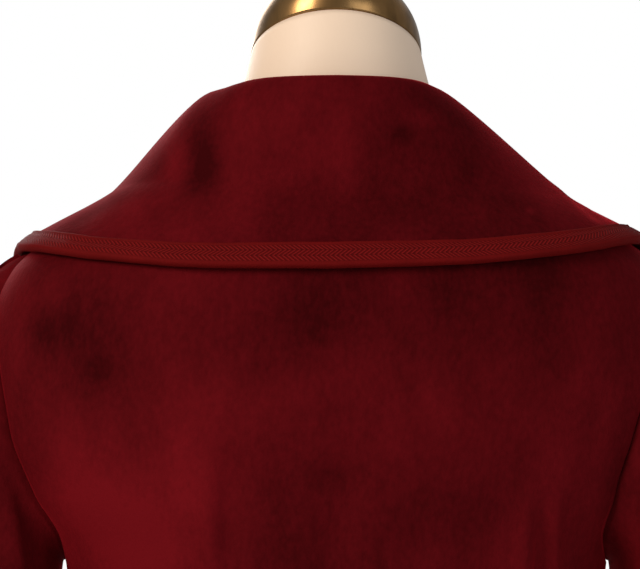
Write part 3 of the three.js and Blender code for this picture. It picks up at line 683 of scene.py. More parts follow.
def collar_station(rows, right_side, lapel_end, along):
    """What the collar follows at places along it: its seam and the coat's normal there, its fold, and the two
    places between which it lies on the coat."""

    def at(name):
        return read(rows, "along", name, along)

    def seam_at(where):
        height = mix(NECKLINE, lapel_end, np.clip((where - CORNER) / (1 - CORNER), 0, None))
        round_neck = np.radians(read(rows, "along", "seam_turn", where))
        return np.where(where <= CORNER, round_neck, -np.pi / 2 - front_edge_turn(height)), height

    step = 0.012
    turn, height = seam_at(along)
    seam = side_face(right_side, turn, height)
    ahead = side_face(right_side, *seam_at(np.minimum(along + step, 1)))
    behind = side_face(right_side, *seam_at(np.maximum(along - step, 0)))
    run = unit(ahead - behind)
    normal = normal_of(lambda t, h: side_face(right_side, t, h), turn, height)
    into = unit(np.cross(run, normal))
    fold = seam + times(at("fold_in"), into) + times(at("fold_off"), normal)

    def lying(share):
        lie_turn = np.radians(mix(at("land_turn"), at("edge_turn"), share))
        lie_height = mix(at("land_height"), at("edge_height"), share)
        return side_face(right_side, lie_turn, lie_height, mix(COLLAR_LIFT, EDGE_LIFT, ease(share)))

    return {"seam": seam, "run": run, "normal": normal, "into": into, "fold": fold, "lying": lying, "fall": at("fall")}


def collar_face(station, across):
    """The collar's face towards the coat: from its seam (0) in a cubic curve up to its fold (1), in another over
    and down to where it lands (2), and lying on the coat out to its edge (3)."""
    seam, run, into, fold = (station[name] for name in ("seam", "run", "into", "fold"))
    up = fold - seam
    over = -unit(np.cross(run, up))
    start = seam + SET_GAP * into
    leaving = length(up) * unit(mix(into, unit(up), 0.4))
    sweep = STAND_SWEEP * ease(length(up) / 40)
    stand = hermite(start, leaving, fold, sweep * over, np.clip(across, 0, 1)[..., None])
    lying = station["lying"]
    land = lying(np.zeros_like(across))
    arriving = unit(lying(np.full_like(across, 0.1)) - land) * length(land - fold) * 0.6
    fall = times(station["fall"], over)
    turned = hermite(fold, fall, land, arriving, np.clip(across - 1, 0, 1)[..., None])
    laid = lying(np.clip(across - 2, 0, 1))
    return np.where((across <= 1)[..., None], stand, np.where((across < 2)[..., None], turned, laid))


def collar_side(rows, right_side, lapel_end, stations, across_of):
    """Points of one side of the collar's face and their outward directions, a row for each place along it."""
    along = np.concatenate([np.linspace(0, CORNER, stations), np.linspace(CORNER, 1, stations // 2 + 1)[1:]])
    braid_start = braid_row(rows, right_side, lapel_end, along)
    across = across_of(braid_start)
    wide = np.broadcast_to(along[:, None], across.shape)
    station = collar_station(rows, right_side, lapel_end, wide)
    face = collar_face(station, across)
    away = -grid_normals(face)
    if right_side:
        face, away = face * np.array([-1, 1, 1]), away * np.array([-1, 1, 1])
    seam_normal = station["normal"][:, :1] * (np.array([-1, 1, 1]) if right_side else 1)
    return face, away, seam_normal


def braid_row(rows, right_side, lapel_end, along):
    """Where the braid starts on the lying part of the collar, for the braid's width to reach the edge."""
    lying = collar_station(rows, right_side, lapel_end, along)["lying"]
    width = coat_sizes().braid_width / MM
    return 3 - width / length(lying(np.ones_like(along)) - lying(np.zeros_like(along)))[..., 0]


def whole_collar(stations, across_of):
    """Both sides of the collar joined at the centre back, from the right lapel's end to the left one's."""
    left = collar_side(collar_left, False, LEFT_LAPEL_END, stations, across_of)
    right = collar_side(collar_right, True, RIGHT_LAPEL_END, stations, across_of)
    face, away, normal = (np.concatenate([r[:0:-1], l]) for r, l in zip(right, left))
    middle = stations + stations // 2 - 1
    around = slice(middle - 1, middle + 2)
    away[around] = unit(away[around].mean(axis=0, keepdims=True))
    return face, away, normal


def collar_grids(sizes, stations=150):
    """Outer and inner points of the collar: its face towards the coat, moved out by its thickness and creases."""

    def across_of(braid_start):
        stand = np.linspace(0, 1, 16)
        turn = np.linspace(1, 2, 26)[1:]
        laid = np.linspace(2, 3, 34)[1:]
        return np.broadcast_to(np.concatenate([stand, turn, laid]), (len(braid_start), 74))

    face, away, normal = whole_collar(stations, across_of)
    across = across_of(np.zeros(1))[0]
    thick = sizes.collar_cloth / MM * np.ones(face.shape[:2])
    thick[:, 0] = sizes.cloth / MM
    away[:, :1] = normal
    lying = ease((across - 1.05) / 0.3)[None, :]
    lift = crease_relief(face, collar_creases) * lying * (1 - ease((across - 2.55) / 0.3))[None, :]
    lift = np.maximum(lift, -COLLAR_LIFT * 0.6)
    return face + times(thick + lift, away), face + times(lift, away)


def braid_profile(sizes, count=15):
    """The braid's section round the collar's edge. Each point has a share of the way from the braid's start to
    the edge, how far it reaches past that edge and its height over the collar's lower face: a flat run with a
    raised margin and a woven middle, a round fold and a flat run underneath."""
    collar = sizes.collar_cloth / MM
    width = sizes.braid_width / MM
    thick = sizes.braid_thickness / MM
    gap = BRAID_GAP
    under = BRAID_GAP + UNDER_BRAID
    share = np.linspace(0, 1, count)
    place = share * width
    top = collar + gap + thick + 0.4 * np.exp(-(((place - 0.9) / 0.6) ** 2))
    top = top - 0.22 * np.exp(-(((place - 2.6) / 0.5) ** 2)) - 0.2 * np.exp(-(((place - 10.2) / 0.6) ** 2))
    bend = np.linspace(0, np.pi, 13)[1:-1]
    rise = (collar + gap + thick + under + thick) / 2
    middle = (collar + gap - under) / 2
    outer = {
        "share": np.concatenate([share, np.ones(len(bend)), share[::-1]]),
        "past": np.concatenate([0 * share, BRAID_FOLD * np.sin(bend), 0 * share]),
        "height": np.concatenate([top, middle + rise * np.cos(bend), 0 * share - under - thick]),
    }
    inner = {
        "share": outer["share"],
        "past": np.concatenate([0 * share, 0.9 * np.sin(bend), 0 * share]),
        "height": np.concatenate(
            [0 * share + collar + gap, middle + (rise - thick) * np.cos(bend), 0 * share - under]
        ),
    }
    return outer, inner


def braid_grids(sizes, stations=260):
    """Outer and inner points of the braid, its section carried along the collar's edge, and for each point its
    place along the braid and across it."""
    count = 15

    def across_of(braid_start):
        return mix(braid_start[:, None], 3, np.linspace(0, 1, count)[None, :])

    face, away, _ = whole_collar(stations, across_of)
    out = unit(face[:, -1] - face[:, -3])[:, None]
    step = np.linalg.norm(np.diff(face[:, -1], axis=0), axis=-1)
    run = np.concatenate([[0], np.cumsum(step)])
    wave = 0.18 * np.sin(run / 9.7) * np.sin(run / 23 + 1) + 0.1 * np.sin(run / 4.3 + 2)

    def carried(profile):
        column = np.rint(profile["share"] * (count - 1)).astype(int)
        lifted = profile["height"][None, :] + wave[:, None]
        return face[:, column] + times(lifted, away[:, column]) + out * profile["past"][None, :, None]

    outer, inner = braid_profile(sizes, count)
    cross = np.hypot(np.diff(outer["past"] + outer["share"] * sizes.braid_width / MM), np.diff(outer["height"]))
    across = np.concatenate([[0], np.cumsum(cross)])
    uv = np.stack(np.broadcast_arrays(run[:, None], across[None, :]), axis=-1) * MM
    return carried(outer), carried(inner), uv


def circle(radius, columns, height, tilt=0.0, slant=NECK_SLANT):
    """A ring about the Z axis, tilted so that it rises towards the back."""
    turn = np.linspace(0, 2 * np.pi, columns, endpoint=False)
    y = radius * np.sin(turn)
    return points(radius * np.cos(turn), y, height + tilt * slant * y)


def form_rings(columns=112):
    """Rings of the dress form: level sections, then rings that bend to the slant that its neck is cut on."""
    turn = np.linspace(0, 2 * np.pi, columns, endpoint=False)
    height = np.concatenate([np.linspace(FORM_HEM, 1300, 80), np.linspace(1300, NECK_FOOT, 50)[1:]])
    body = body_point(form_sections, turn[None, :], height[:, None] + 0 * turn[None, :], FORM_COVER)
    top = circle(NECK_RADIUS, columns, NECK_TOP, 1)
    half = circle(NECK_RADIUS + NECK_FLARE, columns, NECK_TOP - NECK_BEND, 0.5)
    share = np.linspace(0, 1, 16)[1:, None, None]
    control = 2 * half - (body[-1] + top) / 2
    neck = (1 - share) ** 2 * body[-1] + 2 * share * (1 - share) * control + share**2 * top
    return np.concatenate([body, neck])


def lathe(profile, columns, place):
    """Rings of a round solid, a radius and a height for each, set in space by place."""
    turn = np.linspace(0, 2 * np.pi, columns, endpoint=False)
    radius, height = np.array(profile, float).T
    return place(turn[None, :], radius[:, None], height[:, None])


def rounded(corner, before, after, radius, count=5):
    """Points of a fillet at a corner of a profile, on a curve that touches the two sides next to it."""
    corner, before, after = (np.array(p, float) for p in (corner, before, after))
    start = corner + radius * unit(before - corner)
    end = corner + radius * unit(after - corner)
    s = np.linspace(0, 1, count)[:, None]
    return ((1 - s) ** 2 * start + 2 * s * (1 - s) * corner + s**2 * end).tolist()


def round_profile(corners, radii):
    """A profile with a fillet at each of its inner corners."""
    made = [list(corners[0])]
    for i, radius in enumerate(radii, start=1):
        made += rounded(corners[i], corners[i - 1], corners[i + 1], radius)
    return made + [list(corners[-1])]


def upright(turn, radius, height):
    """Places a ring of a lathe level round the Z axis."""
    return points(radius * np.cos(turn), radius * np.sin(turn), height)


def slanted(turn, radius, height):
    """Places a ring of a lathe round the Z axis on the slant of the neck."""
    return points(radius * np.cos(turn), radius * np.sin(turn), height + NECK_SLANT * radius * np.sin(turn))


def node(tree, kind, inputs=None, **settings):
    """A new node with its settings. An input given a socket is linked to it, and any other is set."""
    made = tree.nodes.new(kind)
    for name, value in settings.items():
        setattr(made, name, value)
    for name, value in (inputs or {}).items():
        socket = made.inputs[name]
        if isinstance(value, bpy.types.NodeSocket):
            tree.links.new(value, socket)
        else:
            socket.default_value = value
    return made


def maths(tree, operation, a, b=0.0, c=0.0):
    """The result of a Math node."""
    return node(tree, "ShaderNodeMath", {0: a, 1: b, 2: c}, operation=operation).outputs[0]


def blend_colours(tree, share, first, second, blend="MIX"):
    """A colour between two, by a share."""
    made = node(tree, "ShaderNodeMix", {0: share}, data_type="RGBA", blend_type=blend)
    for place, value in ((6, first), (7, second)):
        if isinstance(value, bpy.types.NodeSocket):
            tree.links.new(value, made.inputs[place])
        else:
            made.inputs[place].default_value = value
    return made.outputs[2]


def new_group(name, inputs, outputs):
    """A shader node group with named value inputs and outputs, and the two ends of its tree."""
    tree = bpy.data.node_groups.new(name, "ShaderNodeTree")
    for title, kind, default in inputs:
        socket = tree.interface.new_socket(title, in_out="INPUT", socket_type=kind)
        if default is not None:
            socket.default_value = default
    for title, kind in outputs:
        tree.interface.new_socket(title, in_out="OUTPUT", socket_type=kind)
    return tree, tree.nodes.new("NodeGroupInput"), tree.nodes.new("NodeGroupOutput")


def mottle_group():
    """Soft uneven patches, from broad ones down to single tufts, for cloth that has been handled."""
    if "Cloth Mottle" in bpy.data.node_groups:
        return bpy.data.node_groups["Cloth Mottle"]
    tree, start, end = new_group(
        "Cloth Mottle",
        [("Broad", "NodeSocketFloat", 22.0), ("Fine", "NodeSocketFloat", 320.0)],
        [("Patches", "NodeSocketFloat"), ("Tufts", "NodeSocketFloat")],
    )
    place = node(tree, "ShaderNodeTexCoord").outputs["Object"]
    long = node(tree, "ShaderNodeMapping", {"Vector": place, "Scale": (1, 1, 0.6)}).outputs[0]
    broad = node(
        tree,
        "ShaderNodeTexNoise",
        {"Vector": long, "Scale": start.outputs["Broad"], "Detail": 3.0, "Roughness": 0.52, "Distortion": 0.25},
    )
    fine = node(
        tree, "ShaderNodeTexNoise", {"Vector": long, "Scale": start.outputs["Fine"], "Detail": 2.0, "Roughness": 0.6}
    )
    tree.links.new(broad.outputs[0], end.inputs["Patches"])
    tree.links.new(fine.outputs[0], end.inputs["Tufts"])
    return tree


def new_material(name):
    """A material with an empty Principled BSDF, and that shader."""
    material = bpy.data.materials.new(name)
    material.use_nodes = True
    return material, material.node_tree, material.node_tree.nodes["Principled BSDF"]


def add_group(tree, group, inputs):
    """A node group placed in a tree with its own values."""
    made = tree.nodes.new("ShaderNodeGroup")
    made.node_tree = group
    for name, value in inputs.items():
        made.inputs[name].default_value = value
    return made


def four(colour, share=1.0):
    """A colour with its alpha, made lighter or darker by a share."""
    return (*(min(1.0, c * share) for c in colour), 1.0)


def velvet_material():
    """Cotton velvet: a deep ground colour, a lighter one where the pile is brushed up or where painted light falls,
    darker in a painted shadow under the collar, a sheen at grazing angles and a fine uneven pile."""
    colours = bpy.context.scene.coat_colours
    material, tree, shader = new_material("coat_velvet")
    mottle = add_group(tree, mottle_group(), {"Broad": 15.0, "Fine": 340.0})
    nap_and_painted_light = node(tree, "ShaderNodeAttribute", attribute_name="nap_and_painted_light").outputs["Fac"]
    patches = maths(tree, "MULTIPLY_ADD", mottle.outputs["Patches"], 1.6, -0.42)
    tufts = maths(tree, "MULTIPLY_ADD", mottle.outputs["Tufts"], 0.5, -0.25)
    # the share holds the pile's random tone and the marks' painted shadow and painted light
    share = maths(tree, "ADD", maths(tree, "ADD", patches, tufts), nap_and_painted_light)
    share = node(tree, "ShaderNodeClamp", {"Value": share}).outputs[0]
    colour = blend_colours(tree, share, four(colours.velvet, 0.5), four(colours.velvet, 1.9))
    tree.links.new(colour, shader.inputs["Base Color"])
    rough = maths(tree, "MULTIPLY_ADD", share, -0.12, 0.86)
    tree.links.new(rough, shader.inputs["Roughness"])
    shader.inputs["Specular IOR Level"].default_value = 0.02
    shader.inputs["Sheen Weight"].default_value = 0.62
    shader.inputs["Sheen Roughness"].default_value = 0.3
    shader.inputs["Sheen Tint"].default_value = four(colours.velvet_sheen)
    pile = node(tree, "ShaderNodeTexNoise", {"Scale": 900.0, "Detail": 2.0})
    tree.links.new(node(tree, "ShaderNodeTexCoord").outputs["Object"], pile.inputs["Vector"])
    height = maths(tree, "ADD", pile.outputs[0], mottle.outputs["Tufts"])
    bump = node(tree, "ShaderNodeBump", {"Height": height, "Strength": 0.4, "Distance": 0.0005})
    tree.links.new(bump.outputs[0], shader.inputs["Normal"])
    return material


def herringbone_group():
    """A herringbone weave on a UV map in metres: raised diagonal floats whose direction changes from one
    lengthwise row to the next, with a dark line where rows meet."""
    tree, start, end = new_group(
        "Herringbone",
        [
            ("Row Width", "NodeSocketFloat", 0.0031),
            ("Float Pitch", "NodeSocketFloat", 0.0026),
            ("Margin", "NodeSocketFloat", 0.0019),
            ("Woven Width", "NodeSocketFloat", 0.0093),
        ],
        [("Float", "NodeSocketFloat"), ("Woven", "NodeSocketFloat"), ("Join", "NodeSocketFloat")],
    )
    place = node(tree, "ShaderNodeUVMap", uv_map="weave").outputs[0]
    split = node(tree, "ShaderNodeSeparateXYZ", {"Vector": place})
    along, across = split.outputs["X"], split.outputs["Y"]
    inside = maths(tree, "SUBTRACT", across, start.outputs["Margin"])
    row = maths(tree, "DIVIDE", inside, start.outputs["Row Width"])
    zigzag = maths(tree, "PINGPONG", row, 1.0)
    lean = maths(tree, "MULTIPLY", zigzag, 1.65)
    diagonal = maths(tree, "ADD", maths(tree, "DIVIDE", along, start.outputs["Float Pitch"]), lean)
    waves = maths(tree, "SINE", maths(tree, "MULTIPLY", diagonal, 2 * math.pi))
    raised = maths(tree, "MULTIPLY_ADD", waves, 0.5, 0.5)
    edge = maths(tree, "ABSOLUTE", maths(tree, "SUBTRACT", maths(tree, "FRACT", row), 0.5))
    join = node(tree, "ShaderNodeMapRange", {"Value": edge, "From Min": 0.38, "From Max": 0.5}).outputs[0]
    past = maths(tree, "SUBTRACT", start.outputs["Woven Width"], inside)
    near = maths(tree, "MINIMUM", inside, past)
    woven = node(tree, "ShaderNodeMapRange", {"Value": near, "From Min": -0.0002, "From Max": 0.0003}).outputs[0]
    for title, socket in (("Float", raised), ("Woven", woven), ("Join", join)):
        tree.links.new(socket, end.inputs[title])
    return tree


def braid_material():
    """Woven braid: a herringbone middle between plain margins, with painted highlight on its raised threads and
    painted shade in the hollows between them.
    """
    colours = bpy.context.scene.coat_colours
    material, tree, shader = new_material("woven_braid")
    weave = add_group(tree, herringbone_group(), {})
    mottle = add_group(tree, mottle_group(), {"Broad": 40.0, "Fine": 700.0})
    raised = maths(tree, "MULTIPLY", weave.outputs["Float"], weave.outputs["Woven"])
    thread = maths(tree, "MULTIPLY", weave.outputs["Join"], weave.outputs["Woven"])
    patches = maths(tree, "MULTIPLY_ADD", mottle.outputs["Patches"], 0.8, -0.1)
    tufts = maths(tree, "MULTIPLY_ADD", mottle.outputs["Tufts"], 0.5, -0.25)
    share = node(tree, "ShaderNodeClamp", {"Value": maths(tree, "ADD", patches, tufts)}).outputs[0]
    plain = blend_colours(tree, share, four(colours.braid, 0.8), four(colours.braid, 1.2))
    # painted highlight: the raised floats are blended towards the lighter thread colour
    lit = blend_colours(tree, maths(tree, "MULTIPLY", raised, 0.55), plain, four(colours.thread_tint_and_highlight))
    # painted shade: the hollows between the floats are darkened
    hollow_painted_shade = maths(tree, "MULTIPLY", maths(tree, "SUBTRACT", weave.outputs["Woven"], raised), 0.45)
    shaded = blend_colours(tree, hollow_painted_shade, lit, four(colours.braid, 0.35))
    joined = blend_colours(tree, maths(tree, "MULTIPLY", thread, 0.5), shaded, four(colours.braid, 0.3))
    tree.links.new(joined, shader.inputs["Base Color"])
    rough = maths(tree, "MULTIPLY_ADD", raised, -0.12, 0.7)
    tree.links.new(rough, shader.inputs["Roughness"])
    shader.inputs["Specular IOR Level"].default_value = 0.03
    shader.inputs["Sheen Weight"].default_value = 0.15
    shader.inputs["Sheen Roughness"].default_value = 0.5
    shader.inputs["Sheen Tint"].default_value = four(colours.thread_tint_and_highlight)
    height = maths(tree, "ADD", raised, maths(tree, "MULTIPLY", mottle.outputs["Tufts"], 0.6))
    bump = node(tree, "ShaderNodeBump", {"Height": height, "Strength": 0.9, "Distance": 0.0005})
    tree.links.new(bump.outputs[0], shader.inputs["Normal"])
    return material


def cover_material():
    """The dress form's cream jersey: a little uneven and slightly glossy."""
    colours = bpy.context.scene.coat_colours
    material, tree, shader = new_material("form_jersey")
    mottle = add_group(tree, mottle_group(), {"Broad": 14.0, "Fine": 500.0})
    colour = blend_colours(tree, mottle.outputs["Patches"], four(colours.form_cover, 0.94), four(colours.form_cover, 1.04))
    tree.links.new(colour, shader.inputs["Base Color"])
    rough = maths(tree, "MULTIPLY_ADD", mottle.outputs["Tufts"], 0.2, 0.42)
    tree.links.new(rough, shader.inputs["Roughness"])
    shader.inputs["Specular IOR Level"].default_value = 0.35
    bump = node(tree, "ShaderNodeBump", {"Height": mottle.outputs["Tufts"], "Strength": 0.25, "Distance": 0.0003})
    tree.links.new(bump.outputs[0], shader.inputs["Normal"])
    return material


def brass_material(name, tarnish):
    """Aged brass: a warm metal with darker, duller patches and a slightly uneven face."""
    colours = bpy.context.scene.coat_colours
    material, tree, shader = new_material(name)
    mottle = add_group(tree, mottle_group(), {"Broad": 60.0, "Fine": 420.0})
    worn = node(
        tree, "ShaderNodeMapRange", {"Value": mottle.outputs["Patches"], "From Min": 0.3, "From Max": 0.7}
    ).outputs[0]
    colour = blend_colours(tree, worn, four(colours.brass), four(colours.brass, tarnish))
    tree.links.new(colour, shader.inputs["Base Color"])
    rough = maths(tree, "MULTIPLY_ADD", worn, 0.14, 0.22)
    tree.links.new(rough, shader.inputs["Roughness"])
    shader.inputs["Metallic"].default_value = 1.0
    bump = node(tree, "ShaderNodeBump", {"Height": mottle.outputs["Tufts"], "Strength": 0.12, "Distance": 0.0002})
    tree.links.new(bump.outputs[0], shader.inputs["Normal"])
    return material


def plain_material(name, colour, roughness):
    """A matt, even finish for the studio."""
    material, _, shader = new_material(name)
    shader.inputs["Base Color"].default_value = four(colour)
    shader.inputs["Roughness"].default_value = roughness
    return material


def velvet():
    """The coat's velvet, made once."""
    return bpy.data.materials.get("coat_velvet") or velvet_material()


def coat_sizes():
    """The coat's sizes as the sidebar holds them."""
    return bpy.context.scene.coat_sizes


class CoatSizes(bpy.types.PropertyGroup):
    """Sizes that a maker would change."""

    cloth: FloatProperty(name="Velvet", description="Thickness of the velvet", default=0.0025, unit="LENGTH")
    collar_cloth: FloatProperty(
        name="Collar", description="Thickness of the collar's two layers", default=0.003, unit="LENGTH"
    )
    braid_thickness: FloatProperty(
        name="Braid", description="Thickness of the braid", default=0.0011, unit="LENGTH"
    )
    braid_width: FloatProperty(
        name="Braid width", description="Width of the braid on each face", default=0.012, unit="LENGTH"
    )
    key_power: FloatProperty(name="Key light", description="Power of the key light", default=52.0, unit="POWER")


class CoatColours(bpy.types.PropertyGroup):
    """Colours of the coat and its form."""

    velvet: FloatVectorProperty(
        name="Velvet", description="Ground colour of the velvet", default=(0.066, 0.0018, 0.0032), subtype="COLOR"
    )
    velvet_sheen: FloatVectorProperty(
        name="Velvet sheen", description="Tint of the pile's sheen", default=(0.62, 0.016, 0.028), subtype="COLOR"
    )
    braid: FloatVectorProperty(
        name="Braid", description="Colour of the braid", default=(0.110, 0.0032, 0.0032), subtype="COLOR"
    )
    # this colour paints the highlight on the braid's raised floats and also tints its sheen
    thread_tint_and_highlight: FloatVectorProperty(
        name="Braid thread", description="Colour of the braid's raised threads", default=(0.22, 0.009, 0.009), subtype="COLOR"
    )
    form_cover: FloatVectorProperty(
        name="Form cover", description="Colour of the form's jersey", default=(0.80, 0.61, 0.46), subtype="COLOR"
    )
    brass: FloatVectorProperty(
        name="Brass", description="Colour of the cap and stand", default=(0.31, 0.17, 0.065), subtype="COLOR"
    )


def make_panel(name, columns):
    """One body panel of the coat."""
    outer, inner = panel_grids(name, columns, coat_sizes().cloth / MM)
    vertices, quads = wall(outer, inner)
    piece = make_piece(f"{name}_velvet", vertices, quads, velvet(), [name], shade=pile_tone_and_painted_light(vertices))


class COAT_OT_back(bpy.types.Operator):
    """Makes the back of the coat"""

    bl_idname = "coat.back"
    bl_label = "Back"

    def execute(self, context):
        make_panel("back", 170)
        return {"FINISHED"}


class COAT_OT_fronts(bpy.types.Operator):
    """Makes both fronts, the right one lapping over the left"""

    bl_idname = "coat.fronts"
    bl_label = "Fronts"

    def execute(self, context):
        for name in ("front_right", "front_left"):
            make_panel(name, 110)
        return {"FINISHED"}


class COAT_OT_sleeves(bpy.types.Operator):
    """Makes both sleeves and sets them into their armholes"""

    bl_idname = "coat.sleeves"
    bl_label = "Sleeves"

    def execute(self, context):
        for side in armholes:
            outer, inner = sleeve_grids(side, coat_sizes().cloth / MM)
            vertices, quads = wall(outer, inner, wrapped=True, bulge=0.3)
            name = f"sleeve_{side}"
            piece = make_piece(f"{name}_velvet", vertices, quads, velvet(), [name], shade=pile_tone_and_painted_light(vertices))
        return {"FINISHED"}


class COAT_OT_collar(bpy.types.Operator):
    """Makes the rolled collar with its lapels"""

    bl_idname = "coat.collar"
    bl_label = "Collar"

    def execute(self, context):
        outer, inner = collar_grids(coat_sizes())
        vertices, quads = wall(outer, inner, bulge=0.3)
        piece = make_piece("collar_velvet", vertices, quads, velvet(), ["collar"], shade=pile_tone_and_painted_light(vertices))
        return {"FINISHED"}


class COAT_OT_binding(bpy.types.Operator):
    """Folds the braid round the collar's edge"""

    bl_idname = "coat.binding"
    bl_label = "Collar Binding"

    def execute(self, context):
        outer, inner, uv = braid_grids(coat_sizes())
        vertices, quads = wall(outer, inner, bulge=0.25)
        padded = np.pad(uv, ((1, 1), (1, 1), (0, 0)), mode="edge")
        weave = np.concatenate([padded.reshape(-1, 2), uv.reshape(-1, 2)])
        piece = make_piece(
            "collar_braid", vertices, quads, braid_material(), ["collar_binding"], uv=weave, slot="braid"
        )
        return {"FINISHED"}


class COAT_OT_buttons(bpy.types.Operator):
    """Makes the five covered buttons on the overlap"""

    bl_idname = "coat.buttons"
    bl_label = "Buttons"

    def execute(self, context):
        turn = np.array(1.5 * np.pi)
        across = np.array([1.0, 0, 0])
        corners = [
            (SHANK_RADIUS, 0),
            (SHANK_RADIUS, SHANK_LENGTH),
            (BUTTON_RADIUS, SHANK_LENGTH + 0.4),
            (BUTTON_RADIUS * 0.9, SHANK_LENGTH + BUTTON_DOME * 0.7),
            (BUTTON_RADIUS * 0.3, SHANK_LENGTH + BUTTON_DOME),
        ]
        profile = round_profile(corners, [0.8, 1.2, 2.2]) + [(0.6, SHANK_LENGTH + BUTTON_DOME + 0.1)]
        for i, level in enumerate(BUTTON_HEIGHTS, start=1):
            height = np.array(float(level))
            normal = normal_of(coat_face, turn, height)
            lift = overlap_lift(turn, height, coat_sizes().cloth / MM) + BUTTON_SEAT
            foot = coat_face(turn, height) + lift * normal
            upward = unit(np.cross(normal, across))

            def place(angle, radius, out):
                flat = times(radius * np.cos(angle), across) + times(radius * np.sin(angle), upward)
                return foot + flat + times(out + 0 * angle, normal)

            vertices, quads, triangles = loft(lathe(profile, 40, place))
            make_piece(
                f"button_{i}_velvet",
                vertices,
                quads,
                velvet(),
                [f"button_{i}"],
                triangles=triangles,
                shade=pile_tone_and_painted_light(vertices),
            )
        return {"FINISHED"}


class COAT_OT_form(bpy.types.Operator):
    """Makes the dress form's covered torso with its neck"""

    bl_idname = "coat.form"
    bl_label = "Dress Form"

    def execute(self, context):
        vertices, quads, triangles = loft(form_rings())
        make_piece(
            "form_jersey", vertices, quads, cover_material(), ["form_torso"], triangles=triangles, slot="form_cover"
        )
        return {"FINISHED"}


class COAT_OT_stand(bpy.types.Operator):
    """Makes the neck's brass cap, the pole and the base"""

    bl_idname = "coat.stand"
    bl_label = "Cap and Stand"

    def execute(self, context):
        foot = NECK_TOP + SEAM_GAP
        share = np.linspace(0, 1, 40)[1:] ** 1.3 * 0.9999
        power = CAP_SQUARENESS
        dome = [(NECK_RADIUS * (1 - s**power) ** (1 / power), foot + CAP_HEIGHT * s) for s in 1 - (1 - share) ** 1.6]
        cap = loft(lathe([(NECK_RADIUS - 1, foot), *dome], 96, slanted))
        metal = brass_material("cap_brass", 0.45)
        make_piece("neck_cap_brass", *cap[:2], metal, ["neck_cap"], triangles=cap[2], slot="cap_metal")
        corners = [(BASE_RADIUS - 2, 0), (BASE_RADIUS, 2), (BASE_RADIUS, BASE_HEIGHT - 4), (BASE_RADIUS - 5, BASE_HEIGHT)]
        corners += [(BOSS_RADIUS, BASE_HEIGHT + 4), (BOSS_RADIUS - 3, BOSS_HEIGHT), (POLE_RADIUS, BOSS_HEIGHT)]
        stand_metal = brass_material("stand_brass", 0.5)
        base = loft(lathe(round_profile(corners, [0.8, 1.5, 2.5, 9, 2.5]), 128, upright))
        make_piece("stand_base", *base[:2], stand_metal, ["base"], triangles=base[2], slot="stand_metal")
        ends = (BOSS_HEIGHT + SEAM_GAP, FORM_HEM - SEAM_GAP)
        shaft = [(POLE_RADIUS, height) for height in np.linspace(*ends, 12)]
        pole = loft(lathe(shaft, 48, upright))
        make_piece("stand_pole", *pole[:2], stand_metal, ["pole"], triangles=pole[2], slot="stand_metal")
        return {"FINISHED"}


def add_area_light(name, location, target, size, power, colour=(1, 1, 1)):
    """A square area light that points at a place."""
    data = bpy.data.lights.new(name, "AREA")
    data.shape = "SQUARE"
    data.size = size
    data.energy = power
    data.color = colour
    light = bpy.data.objects.new(name, data)
    bpy.context.scene.collection.objects.link(light)
    away = np.array(location) - np.array(target)
    level = math.hypot(away[0], away[1])
    light.location = location
    light.rotation_euler = (math.atan2(level, away[2]), 0, math.atan2(away[0], -away[1]))
    return light


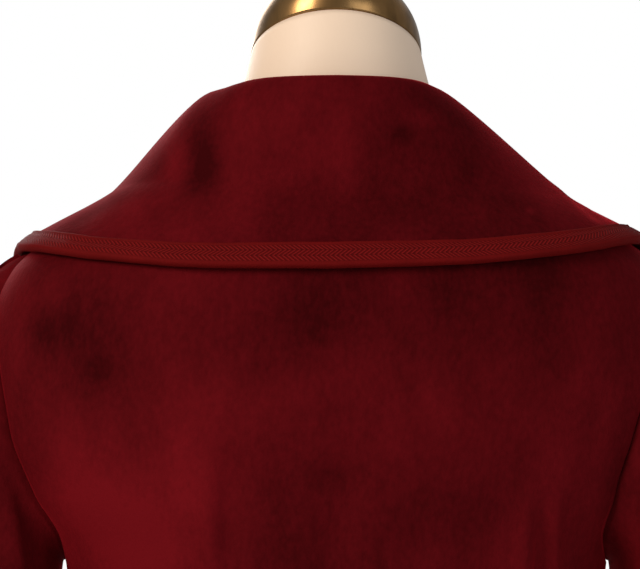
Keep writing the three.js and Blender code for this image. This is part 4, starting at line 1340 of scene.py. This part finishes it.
class COAT_OT_studio(bpy.types.Operator):
    """Sets up the floor, the light and the camera"""

    bl_idname = "coat.studio"
    bl_label = "Studio"

    def execute(self, context):
        scene = context.scene
        scene.view_settings.view_transform = "Standard"
        turn = np.linspace(0, 2 * np.pi, 64, endpoint=False)
        mesh = bpy.data.meshes.new("floor")
        mesh.from_pydata(points(2.6 * np.cos(turn), 2.6 * np.sin(turn), 0).tolist(), [], [list(range(64))])
        mesh.materials.append(plain_material("floor", (0.82, 0.81, 0.8), 0.8))
        floor = bpy.data.objects.new("floor", mesh)
        scene.collection.objects.link(floor)

        world = bpy.data.worlds.new("studio")
        world.use_nodes = True
        tree = world.node_tree
        surface = tree.nodes["World Output"].inputs["Surface"]
        tree.nodes["Background"].inputs["Color"].default_value = (1, 1, 1, 1)
        tree.nodes["Background"].inputs["Strength"].default_value = 0.4
        seen = node(tree, "ShaderNodeBackground", {"Color": (1, 1, 1, 1), "Strength": 1.0})
        ray = node(tree, "ShaderNodeLightPath").outputs["Is Camera Ray"]
        both = node(tree, "ShaderNodeMixShader", {0: ray, 1: tree.nodes["Background"].outputs[0], 2: seen.outputs[0]})
        tree.links.new(both.outputs[0], surface)
        scene.world = world

        target = (0.0, 0.05, 1.25)
        power = coat_sizes().key_power
        add_area_light("key", (1.8, 1.8, 2.3), target, 1.0, power, (1.0, 0.91, 0.80))
        add_area_light("fill", (-1.6, 2.2, 1.5), target, 1.6, power * 0.3, (0.9, 0.96, 1.0))
        add_area_light("front_fill", (1.2, -2.4, 2.1), target, 1.6, power * 0.8)

        data = bpy.data.cameras.new("camera")
        data.lens = 123.9
        data.sensor_width = 36
        camera = bpy.data.objects.new("camera", data)
        camera.location = (0.00944, 1.3, 1.3228)
        camera.rotation_euler = (math.pi / 2, 0, math.pi)
        scene.collection.objects.link(camera)
        scene.camera = camera
        return {"FINISHED"}


class COAT_PT_sidebar(bpy.types.Panel):
    """Lists the coat's sizes, colours and pieces"""

    bl_idname = "COAT_PT_sidebar"
    bl_label = "Velvet Long Coat"
    bl_space_type = "VIEW_3D"
    bl_region_type = "UI"
    bl_category = "Coat"

    def draw(self, context):
        for group in (context.scene.coat_sizes, context.scene.coat_colours):
            for name in group.__annotations__:
                self.layout.prop(group, name)
        for operator in operators:
            self.layout.operator(operator.bl_idname)


operators = (
    COAT_OT_back,
    COAT_OT_fronts,
    COAT_OT_sleeves,
    COAT_OT_collar,
    COAT_OT_binding,
    COAT_OT_buttons,
    COAT_OT_form,
    COAT_OT_stand,
    COAT_OT_studio,
)


def register():
    """Adds the classes and the sizes and colours that they read."""
    for kind in (CoatSizes, CoatColours, *operators, COAT_PT_sidebar):
        bpy.utils.register_class(kind)
    bpy.types.Scene.coat_sizes = PointerProperty(type=CoatSizes)
    bpy.types.Scene.coat_colours = PointerProperty(type=CoatColours)


def unregister():
    """Takes them away again."""
    del bpy.types.Scene.coat_sizes
    del bpy.types.Scene.coat_colours
    for kind in (COAT_PT_sidebar, *reversed(operators), CoatColours, CoatSizes):
        bpy.utils.unregister_class(kind)


def main():
    """Makes every piece and the studio."""
    register()
    for operator in ("back", "fronts", "sleeves", "collar", "binding", "buttons", "form", "stand", "studio"):
        getattr(bpy.ops.coat, operator)()


if __name__ == "__main__":
    main()
